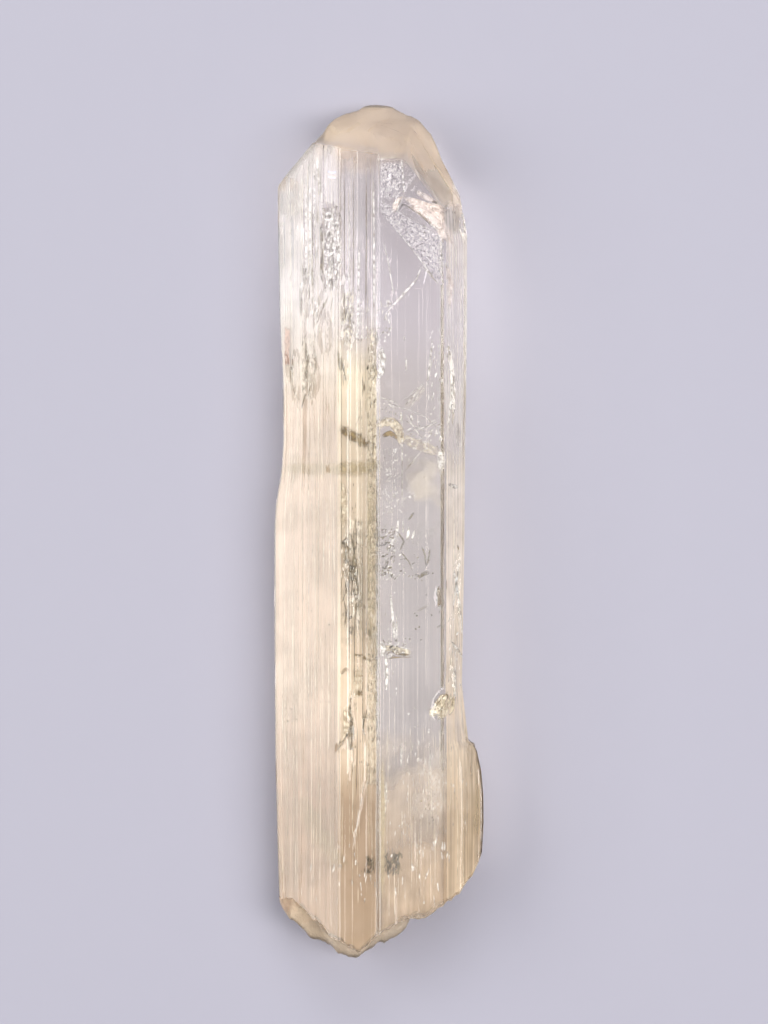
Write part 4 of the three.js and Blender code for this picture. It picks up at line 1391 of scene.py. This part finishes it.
darkSeams = [
    mark([(328, 410), (328, 471)], 1.6, 0.5, 10, 0.9),
    mark([(349, 380), (349, 470), (350, 600), (351, 690)], 1.9, 0.5, 10, 0.95),
    mark([(362, 330), (362, 372), (365, 388), (362, 400), (363, 520)], 2.1, 0.5, 10, 0.95),
    mark([(363, 500), (364, 640), (364, 770)], 1.9, 0.5, 10, 0.95),
    mark([(355, 600), (355, 690)], 1.3, 0.5, 10, 0.8),
    mark([(358, 720), (357, 800)], 1.2, 0.5, 10, 0.7),
    mark([(342, 330), (342, 470), (342, 560), (342, 640)], 1.4, 0.5, 10, 0.6),
    mark([(341, 690), (340, 760), (341, 850)], 1.2, 0.5, 10, 0.5),
    mark([(377, 420), (377, 560), (377, 700)], 1.3, 0.5, 10, 0.6),
    mark([(345, 170), (345, 250), (345, 335)], 1.6, 0.5, 10, 0.6),
    mark([(354, 165), (354, 300)], 1.3, 0.5, 10, 0.6),
    mark([(367, 170), (367, 250), (366, 330)], 1.6, 0.5, 10, 0.6),
    mark([(341, 160), (341, 290)], 1.4, 0.5, 10, 0.6),
    mark([(309, 172), (309, 280)], 1.1, 0.5, 10, 0.5),
    mark([(313, 165), (313, 300)], 1.3, 0.5, 10, 0.6),
    mark([(322, 160), (321, 205)], 1.3, 0.5, 10, 0.6),
    mark([(304, 470), (304, 620)], 0.9, 0.5, 10, 0.4),
    mark([(319, 500), (319, 700)], 0.9, 0.5, 10, 0.4),
    mark([(333, 480), (333, 660)], 1.0, 0.5, 10, 0.5),
]
darkEtchesAndShade = [
    mark([(338, 349), (341, 360), (342, 373)], 4.2, 0.5, 10, 0.9),
    mark([(343, 366), (346, 382)], 3.4, 0.5, 10, 0.9),
    mark([(352, 688), (350, 712), (353, 726), (346, 738), (334, 748)], 2.8, 0.5, 10, 1.0),
    mark([(352, 722), (344, 741), (336, 754)], 2.0, 0.5, 10, 1.0),
    mark([(353, 722), (352, 748), (354, 770)], 1.8, 0.5, 10, 0.8),
    mark([(368, 706), (364, 722), (363, 738)], 2.0, 0.5, 10, 0.9),
    mark([(377, 460), (378, 560), (377, 690), (378, 786)], 2.4, 0.5, 10, 0.9),
    mark([(397, 214), (403, 204), (420, 214), (438, 233)], 1.5, 0.55, 20, 0.7),
    mark([(443, 180), (446, 205), (447, 236)], 1.4, 0.5, 10, 0.6),
    mark([(452, 184), (454, 205), (453, 232)], 1.4, 0.5, 10, 0.5),
    mark([(320, 212), (322, 250), (321, 275), (327, 294)], 1.8, 0.5, 10, 0.9),
    mark([(342, 538), (346, 552), (344, 566)], 3.4, 0.6, 10, 1.0),
    mark([(345, 556), (352, 568), (349, 586), (345, 596)], 3.2, 0.6, 10, 1.0),
    mark([(351, 531), (355, 552), (353, 570), (358, 588)], 2.4, 0.6, 10, 0.9),
    mark([(361, 560), (357, 580), (360, 602), (355, 622)], 2.8, 0.6, 10, 0.9),
    mark([(344, 596), (347, 612), (345, 630)], 1.8, 0.6, 10, 0.8),
    mark([(367, 627), (370, 634), (373, 640)], 4.5, 0.6, 10, 0.8),
    mark([(303, 282), (301, 290), (301, 315)], 1.5, 0.5, 10, 0.8),
    mark([(309, 280), (309, 316)], 1.1, 0.5, 10, 0.5),
    mark([(330, 294), (324, 308), (317, 325)], 2.0, 0.5, 10, 0.9),
    mark([(334, 296), (331, 312)], 1.6, 0.5, 10, 0.8),
    mark([(313, 296), (313, 306)], 1.4, 0.5, 10, 0.8),
    mark([(291, 345), (292, 372), (293, 390), (300, 400), (305, 396)], 1.8, 0.5, 10, 0.75),
    mark([(307, 340), (308, 362), (306, 385)], 4.5, 0.5, 10, 0.6),
    mark([(314, 345), (317, 362), (314, 378)], 3.5, 0.5, 10, 0.5),
    mark([(307, 393), (304, 402), (302, 410)], 2.0, 0.5, 10, 0.8),
    mark([(377, 330), (378, 350)], 3.0, 0.5, 10, 0.6),
    mark([(344, 306), (347, 316)], 5, 0.5, 10, 0.5),
    mark([(350, 312), (351, 326)], 3.6, 0.5, 10, 0.5),
    # painted shadow: a short dark line in the shaded band along the window's right edge
    mark([(445, 579), (445, 590)], 2.2, 0.6, 10, 1.0),
    mark([(419, 887), (419, 897)], 1.5, 0.6, 10, 0.9),
    mark([(421, 545), (425, 556), (426, 568)], 2.4, 1.2, 20, 0.7),
    mark([(430, 548), (427, 566)], 2.0, 1.2, 20, 0.7),
    mark([(417, 578), (423, 574), (430, 572)], 5, 1.2, 15, 0.7),
    mark([(416, 612), (421, 609), (428, 605)], 4, 1.2, 15, 0.5),
    mark([(408, 521), (414, 512)], 2.6, 0.9, 15, 0.8),
    mark([(436, 628), (442, 624)], 2.6, 0.9, 15, 0.6),
    mark([(414, 200), (421, 207)], 3.4, 0.8, 15, 0.7),
    mark([(430, 200), (438, 207)], 3.4, 0.8, 15, 0.7),
    # painted shade: the dark region on the right of the bevel
    mark([(455, 420), (456, 450)], 9, 0.8, 15, 0.35),
    mark([(396, 530), (404, 541), (399, 553)], 2.0, 0.8, 15, 0.7),
    mark([(400, 551), (409, 562), (413, 572)], 1.8, 0.8, 15, 0.7),
]
tanCloudsAndShadowBand = [
    # painted shadow: the next two marks are a broad tan band across the left face and the strip, standing for
    # the shadow of a refracted edge
    mark([(276, 468), (320, 469), (345, 468), (384, 466)], 19, 0.6, 5, 0.4),
    mark([(330, 470), (358, 469), (384, 464)], 20, 0.6, 5, 0.5),
    mark([(371, 465), (371, 540), (372, 600), (371, 660)], 12, 0.45, 5, 0.4),
    mark([(300, 790), (322, 830), (350, 872)], 40, 1.0, 5, 0.3),
    mark([(382, 748), (382.5, 820), (382, 908)], 10, 0.6, 5, 0.6),
    mark([(470, 760), (474, 820), (462, 872)], 14, 1.1, 10, 0.5),
]
glints = [
    mark([(328, 171), (333, 173), (338, 172)], 3, 0.5, 5, 0.8),
    mark([(328, 176), (333, 178), (338, 177)], 5, 0.5, 5, 0.8),
]
# Small strokes or grains scattered over an area: its first and last corner, in the photo's pixels.
scatters = [
    # "spread" is how far the strokes turn from one another, in degrees
    {"kind": "dark", "area": ((379, 528), (395, 580)), "count": 80, "long": 4.6, "wide": 1.3, "turn": 50,
     "spread": 90},
    {"kind": "white", "area": ((380, 526), (398, 580)), "count": 50, "long": 4.0, "wide": 1.4, "turn": 50,
     "spread": 90},
    {"kind": "dark", "area": ((394, 556), (430, 580)), "count": 16, "long": 4.6, "wide": 1.2, "turn": 30,
     "spread": 70},
    {"kind": "dark", "area": ((365, 857), (377, 873)), "count": 40, "long": 6, "wide": 1.5, "turn": 75,
     "spread": 60},
    {"kind": "dark", "area": ((383, 854), (404, 874)), "count": 80, "long": 7, "wide": 1.5, "turn": 70,
     "spread": 70},
    {"kind": "dark", "area": ((350, 862), (404, 872)), "count": 16, "long": 3, "wide": 1.2, "turn": 80},
    {"kind": "dark", "area": ((341, 535), (361, 620)), "count": 34, "long": 8, "wide": 2.0, "turn": 75},
    {"kind": "dark", "area": ((365, 500), (378, 640)), "count": 30, "long": 5, "wide": 1.3, "turn": 75},
    {"kind": "dark", "area": ((341, 300), (352, 332)), "count": 10, "long": 5, "wide": 1.6, "turn": 60},
    {"kind": "dark", "area": ((300, 335), (318, 400)), "count": 18, "long": 8, "wide": 1.4, "turn": 85},
    {"kind": "dark", "area": ((366, 330), (379, 460)), "count": 24, "long": 6, "wide": 1.4, "turn": 80},
    {"kind": "dark", "area": ((343, 480), (365, 535)), "count": 20, "long": 4, "wide": 0.9, "turn": 85},
    {"kind": "dark", "area": ((372, 640), (379, 785)), "count": 26, "long": 5, "wide": 1.2, "turn": 80},
    {"kind": "dark", "area": ((384, 645), (412, 656)), "count": 12, "long": 3, "wide": 2.2, "turn": 30},
    {"kind": "dark", "area": ((286, 440), (336, 730)), "count": 26, "long": 1.8, "wide": 1.6, "turn": 50,
     "spread": 90},
    {"kind": "dark", "area": ((400, 560), (446, 640)), "count": 14, "long": 2.0, "wide": 1.8, "turn": 50},
    {"kind": "dark", "area": ((418, 790), (436, 830)), "count": 10, "long": 3, "wide": 1.2, "turn": 70},
    {"kind": "white", "area": ((379, 402), (401, 421)), "count": 60, "long": 1.8, "wide": 1.1, "turn": 70},
    {"kind": "white", "area": ((379, 444), (402, 516)), "count": 190, "long": 2.0, "wide": 1.0, "turn": 75},
    {"kind": "white", "area": ((402, 455), (416, 500)), "count": 14, "long": 2.4, "wide": 1.4, "turn": 60},
    {"kind": "white", "area": ((378, 300), (392, 345)), "count": 40, "long": 4.0, "wide": 1.6, "turn": 75},
    # painted highlights: bright slivers along the right bevel
    {"kind": "white", "area": ((428, 330), (446, 440)), "count": 50, "long": 5.0, "wide": 1.2, "turn": 80},
    {"kind": "white", "area": ((404, 418), (440, 450)), "count": 26, "long": 6.0, "wide": 1.4, "turn": 35},
    {"kind": "white", "area": ((379, 638), (413, 655)), "count": 46, "long": 2.4, "wide": 1.6, "turn": 40},
    {"kind": "white", "area": ((380, 590), (398, 700)), "count": 20, "long": 4.0, "wide": 1.0, "turn": 80},
    {"kind": "white", "area": ((382, 535), (418, 585)), "count": 24, "long": 2.6, "wide": 1.5, "turn": 50},
    {"kind": "white", "area": ((381, 742), (472, 850)), "count": 120, "long": 6.0, "wide": 1.0, "turn": 88,
     "spread": 10, "cover": 0.6},
    {"kind": "white", "area": ((298, 176), (322, 320)), "count": 50, "long": 16.0, "wide": 1.0, "turn": 90,
     "spread": 2},
    {"kind": "dark", "area": ((303, 176), (322, 300)), "count": 24, "long": 14.0, "wide": 0.9, "turn": 90,
     "spread": 2},
    {"kind": "dark", "area": ((379, 640), (413, 657)), "count": 26, "long": 2.2, "wide": 1.4, "turn": 40},
    {"kind": "dark", "area": ((342, 700), (378, 790)), "count": 26, "long": 4.0, "wide": 0.9, "turn": 85},
    {"kind": "white", "area": ((400, 690), (450, 735)), "count": 10, "long": 2.0, "wide": 1.7, "turn": 50},
    {"kind": "white", "area": ((320, 205), (340, 292)), "count": 34, "long": 7.0, "wide": 1.3, "turn": 70},
    # painted highlights: bright slivers along the right bevel
    {"kind": "white", "area": ((445, 565), (464, 700)), "count": 40, "long": 7.0, "wide": 1.6, "turn": 75},
    {"kind": "white", "area": ((414, 205), (444, 240)), "count": 26, "long": 6.0, "wide": 1.4, "turn": -40},
    {"kind": "white", "area": ((342, 290), (378, 345)), "count": 34, "long": 7.0, "wide": 1.3, "turn": 85},
    {"kind": "white", "area": ((300, 840), (470, 905)), "count": 50, "long": 9.0, "wide": 1.5, "turn": 88},
]


# How chance spreads the strokes of an area: a base and what luck may add to it.
scatterHabit = {
    "gather": (0.55, 0.45),        # the strokes gather towards the middle of their area
    "long": (0.4, 0.9),
    "wide": (0.6, 0.8),
    "deeper": 0.3,
    "lean": 25,
    "spread": 26,                  # degrees, and the cover, where an area gives none
    "cover": 0.95,
}


def withLuck(habit, luck):
    base, added = scatterHabit[habit]
    return base + added * luck


def scattered(kind):
    marks = []
    for number, scatter in enumerate(scatters):
        if scatter["kind"] != kind:
            continue
        draw = np.random.default_rng(60 + number)
        (left, top), (right, bottom) = scatter["area"]
        chance = draw.random((scatter["count"], 6))
        column = left + (right - left) * (0.5 + (chance[:, 0] - 0.5) * withLuck("gather", chance[:, 1]))
        row = top + (bottom - top) * chance[:, 2]
        half = scatter["long"] / 2 * withLuck("long", chance[:, 3])
        turn = scatter["turn"] + scatter.get("spread", scatterHabit["spread"]) * (chance[:, 4] - 0.5)
        stepX, stepY = half * np.cos(np.radians(turn)), -half * np.sin(np.radians(turn))
        cover = scatter.get("cover", scatterHabit["cover"])
        for x, y, dx, dy, luck in zip(column, row, stepX, stepY, chance[:, 5]):
            wide = scatter["wide"] * withLuck("wide", luck)
            deep = shallowest + scatterHabit["deeper"] * luck
            marks.append(mark([(x - dx, y - dy), (x + dx, y + dy)], wide, deep, scatterHabit["lean"], cover))
    return marks


ribbonHabit = {
    "step": 0.22,                  # millimetres of route to a row
    "rows": (4, 60),
    "narrow": 2.5,                 # pixels under which three columns do instead of nine
    "tip": 0.18,                   # share of the width left at both tips
    "crinkle": 0.22,
}


# Ribbon over u along its route and v across it: the width follows the square root of sin(pi u), the
# lean turns it from flat to on edge, and crackled noise crinkles it.
def ribbonGrid(item, seed):
    x, y = fromPhoto(item["route"], item["deep"])
    run = np.concatenate([[0], np.cumsum(np.hypot(np.diff(x), np.diff(y)))])
    rows = int(np.clip(run[-1] / ribbonHabit["step"], *ribbonHabit["rows"]))
    columns = 3 if item["wide"] < ribbonHabit["narrow"] else 9
    u, v = np.meshgrid(np.linspace(0, 1, rows), np.linspace(-1, 1, columns), indexing="ij")
    middleX, middleY = np.interp(u * run[-1], run, x), np.interp(u * run[-1], run, y)
    towardX, towardY = np.gradient(middleX, axis=0), np.gradient(middleY, axis=0)
    length = np.hypot(towardX, towardY)
    half = item["wide"] * photo["pixelSize"] / 2
    tip = ribbonHabit["tip"]
    across = half * (tip + (1 - tip) * np.sqrt(np.sin(math.pi * np.clip(u, 0.002, 0.998)))) * v
    crumple = hackle(middleX * 2.2 + across * 3, middleY * 1.3, seed) - 0.6
    placeX = middleX - towardY / length * across
    placeY = middleY + towardX / length * across
    level = upperLevel(frontLevel(straightened(middleX, middleY)), placeX, placeY)
    placeZ = level - item["deep"] + across * math.sin(math.radians(item["lean"]))
    placeZ = placeZ + min(ribbonHabit["crinkle"], half * 0.5) * crumple
    placeY = np.clip(placeY, bottomLevel(placeX, placeZ) + endGap, topLevel(placeX, placeZ) - endGap)
    places, spread = gridRows(placeX, placeY, placeZ, u, v)
    return places, spread, np.full(len(places), item["cover"]), gridQuads(rows, columns, False)


def addRibbons(ribbon):
    grids = [ribbonGrid(item, seed % 17) for seed, item in enumerate(ribbon["marks"])]
    places, spreads, covers, quads = zip(*grids)
    starts = np.cumsum([0] + [len(grid) for grid in places[:-1]])
    faces = np.concatenate([part + start for part, start in zip(quads, starts)]).tolist()
    name = ribbon["name"]
    addThinPiece(name, np.concatenate(places), np.concatenate(spreads), faces, ribbonMaterial(ribbon))
    mesh = bpy.data.objects[name].data
    mesh.attributes.new("cover", "FLOAT", "POINT").data.foreach_set("value", np.concatenate(covers))


# Two colours mixed by grains, full along the ribbon's middle and ragged towards its edges; both of its ends
# fade. Towards its edges the colour turns to the dark one, a painted shadow line round each mark. "solid" is
# the cover that is left where the grains are low.
def ribbonMaterial(ribbon):
    def build(tree, vector, x, y, z, u, v):
        grains = noiseFrom(tree, vector, 1900.0, 3.0, 0.65)
        shards = noiseFrom(tree, vector, 620.0, 2.0, 0.5, 0.8)
        out = reckon(tree, "ABSOLUTE", v)
        # painted shadow line: the colour turns dark at the ribbon's edges
        pale = product(tree, nodeRise(tree, grains, 0.35, 0.65), nodeRise(tree, out, 0.95, 0.6))
        colour = mixColours(tree, pale, ribbon["dark"], ribbon["light"])
        edge = swayed(tree, shards, ribbon["ragged"], reckon(tree, "SUBTRACT", 1.0, out))
        both = reckon(tree, "MULTIPLY_ADD", shards, 0.5, product(tree, grains, 0.5))
        share = addNode(tree, "ShaderNodeAttribute", attribute_name="cover").outputs["Fac"]
        shown = product(tree, nodeRise(tree, edge, 0.0, ribbon["softness"]), nodeRise(tree, u, 0.0, 0.2),
                        nodeRise(tree, u, 1.0, 0.8), nodeRise(tree, both, 0.40, 0.58, ribbon["solid"], 1.0),
                        share)
        return colour, shown, grains
    return thinMaterial(ribbon["material"], build, ribbon["roughness"])


# Patch over u and w between its four corners, under the front by its depth.
def patchGrid(patch):
    upperLeft, upperRight, lowerRight, lowerLeft = (np.array(corner) for corner in patch["corners"])
    width, height = np.ptp(patch["corners"], axis=0)
    columns, rows = int(width / 3) + 3, int(height / 4) + 3
    u, w = unitGrid(columns, rows)
    upper = upperLeft + (upperRight - upperLeft) * u[..., None]
    lower = lowerLeft + (lowerRight - lowerLeft) * u[..., None]
    x, y = fromPhoto(upper + (lower - upper) * w[..., None], patch["deep"])
    z = surfaceLevel(x, y) - patch["deep"]
    return *gridRows(x, y, z, u, w), gridQuads(rows, columns, False).tolist(), rows / columns


wormStretch = {"across": 3300.0, "along": 1500.0, "fineness": 1.9}


# Worm-etched material: streak noise of short wavelength, pale on its crests and dark in its troughs.
def wormMaterial(patch, tallness):
    def build(tree, vector, x, y, z, u, w):
        worms = placeGroup(tree, streakGroup, vector, Across=patch.get("across", wormStretch["across"]),
                           Along=patch.get("along", wormStretch["along"]), Fineness=wormStretch["fineness"])
        colour = mixColours(tree, worms["Mask"], patch["dark"], patch["light"])
        fromMiddle = [reckon(tree, "MULTIPLY_ADD", part, 2.0, -1.0) for part in (u, w)]
        sideU, sideW = (reckon(tree, "SUBTRACT", 1.0, reckon(tree, "ABSOLUTE", part)) for part in fromMiddle)
        inward = reckon(tree, "MINIMUM", sideU, product(tree, sideW, tallness))
        shards = noiseFrom(tree, vector, 500.0, 2.0, 0.5)
        edge = swayed(tree, shards, patch["soft"] * 2, inward)
        shown = nodeRise(tree, edge, 0.0, 0.04 + patch["soft"])
        if not patch.get("plain"):
            contrast = reckon(tree, "ABSOLUTE", reckon(tree, "SUBTRACT", worms["Mask"], 0.5))
            shown = product(tree, shown, reckon(tree, "MULTIPLY_ADD", contrast, 1.6, 0.15, clamp=True))
        return colour, product(tree, shown, patch["cover"]), worms["Height"]
    return thinMaterial(patch["name"] + "Worms", build, 0.3)


for patch in wormPatches:
    places, spread, faces, tallness = patchGrid(patch)
    addThinPiece(patch["name"], places, spread, faces, wormMaterial(patch, tallness))

# The colours of each piece's crests and troughs, the dark one also painted along its edges as a shadow line,
# how ragged and soft its edges are, and how solid.
ribbonPieces = [
    {"name": "whiteFeathersAndHighlights", "marks": whiteFeathersAndHighlights + scattered("white"), "material": "silveryCrackAndHighlight",
     "light": (0.98, 0.97, 0.96), "dark": (0.30, 0.27, 0.24), "roughness": 0.25,
     "ragged": 0.9, "softness": 0.4, "solid": 0.65},
    {"name": "creamVeils", "marks": creamVeils, "material": "creamVeil",
     "light": (0.88, 0.80, 0.64), "dark": (0.34, 0.27, 0.17), "roughness": 0.4,
     "ragged": 1.0, "softness": 0.4, "solid": 0.7},
    {"name": "pinkLobes", "marks": pinkLobes, "material": "pinkFrost",
     "light": (0.92, 0.82, 0.76), "dark": (0.52, 0.43, 0.38), "roughness": 0.4,
     "ragged": 0.6, "softness": 0.35, "solid": 0.7},
    {"name": "rainbowGlint", "marks": glints, "material": "rainbowGlint",
     "light": (0.58, 0.68, 1.0), "dark": (1.0, 0.66, 0.42), "roughness": 0.3,
     "ragged": 0.4, "softness": 0.6, "solid": 0.9},
    {"name": "brownStains", "marks": brownStains, "material": "brownStain",
     "light": (0.30, 0.22, 0.10), "dark": (0.11, 0.07, 0.03), "roughness": 0.6,
     "ragged": 1.2, "softness": 0.5, "solid": 0.55},
    {"name": "darkSeams", "marks": darkSeams, "material": "darkSeam",
     "light": (0.20, 0.15, 0.09), "dark": (0.08, 0.06, 0.04), "roughness": 0.5,
     "ragged": 0.4, "softness": 0.25, "solid": 0.85},
    {"name": "darkEtchesAndShade", "marks": darkEtchesAndShade + scattered("dark"), "material": "darkEtchAndShade",
     "light": (0.22, 0.18, 0.11), "dark": (0.06, 0.05, 0.035), "roughness": 0.5,
     "ragged": 1.0, "softness": 0.4, "solid": 0.6},
    # tan clouds, with a painted shadow band among them
    {"name": "tanCloudsAndShadowBand", "marks": tanCloudsAndShadowBand, "material": "tanCloudAndShadowBand",
     "light": (0.50, 0.42, 0.27), "dark": (0.44, 0.36, 0.22), "roughness": 0.7,
     "ragged": 0.3, "softness": 0.8, "solid": 0.8},
]
for ribbon in ribbonPieces:
    addRibbons(ribbon)


# The floor

def addFloor():
    material, tree = freshMaterial("paleFloor")
    vector = placeSockets(tree)[0]
    light = tuple(part * studio["floorGrain"] for part in studio["floorColour"])
    colour = mixColours(tree, noiseFrom(tree, vector, 260.0, 3.0, 0.6), studio["floorColour"], light)
    surface = addNode(tree, "ShaderNodeBsdfPrincipled")
    surface.inputs["Roughness"].default_value = studio["floorRoughness"]
    linked(tree, colour, surface.inputs["Base Color"])
    finishMaterial(tree, surface.outputs[0])
    corners = np.array([(-1, -1), (1, -1), (1, 1), (-1, 1)]) * studio["floorSize"] / 2
    corners = np.column_stack([corners, np.full(4, -studio["floorGap"])])
    meshPiece("floor", corners, [(0, 1, 2, 3)], material)


addFloor()
print("floor laid")
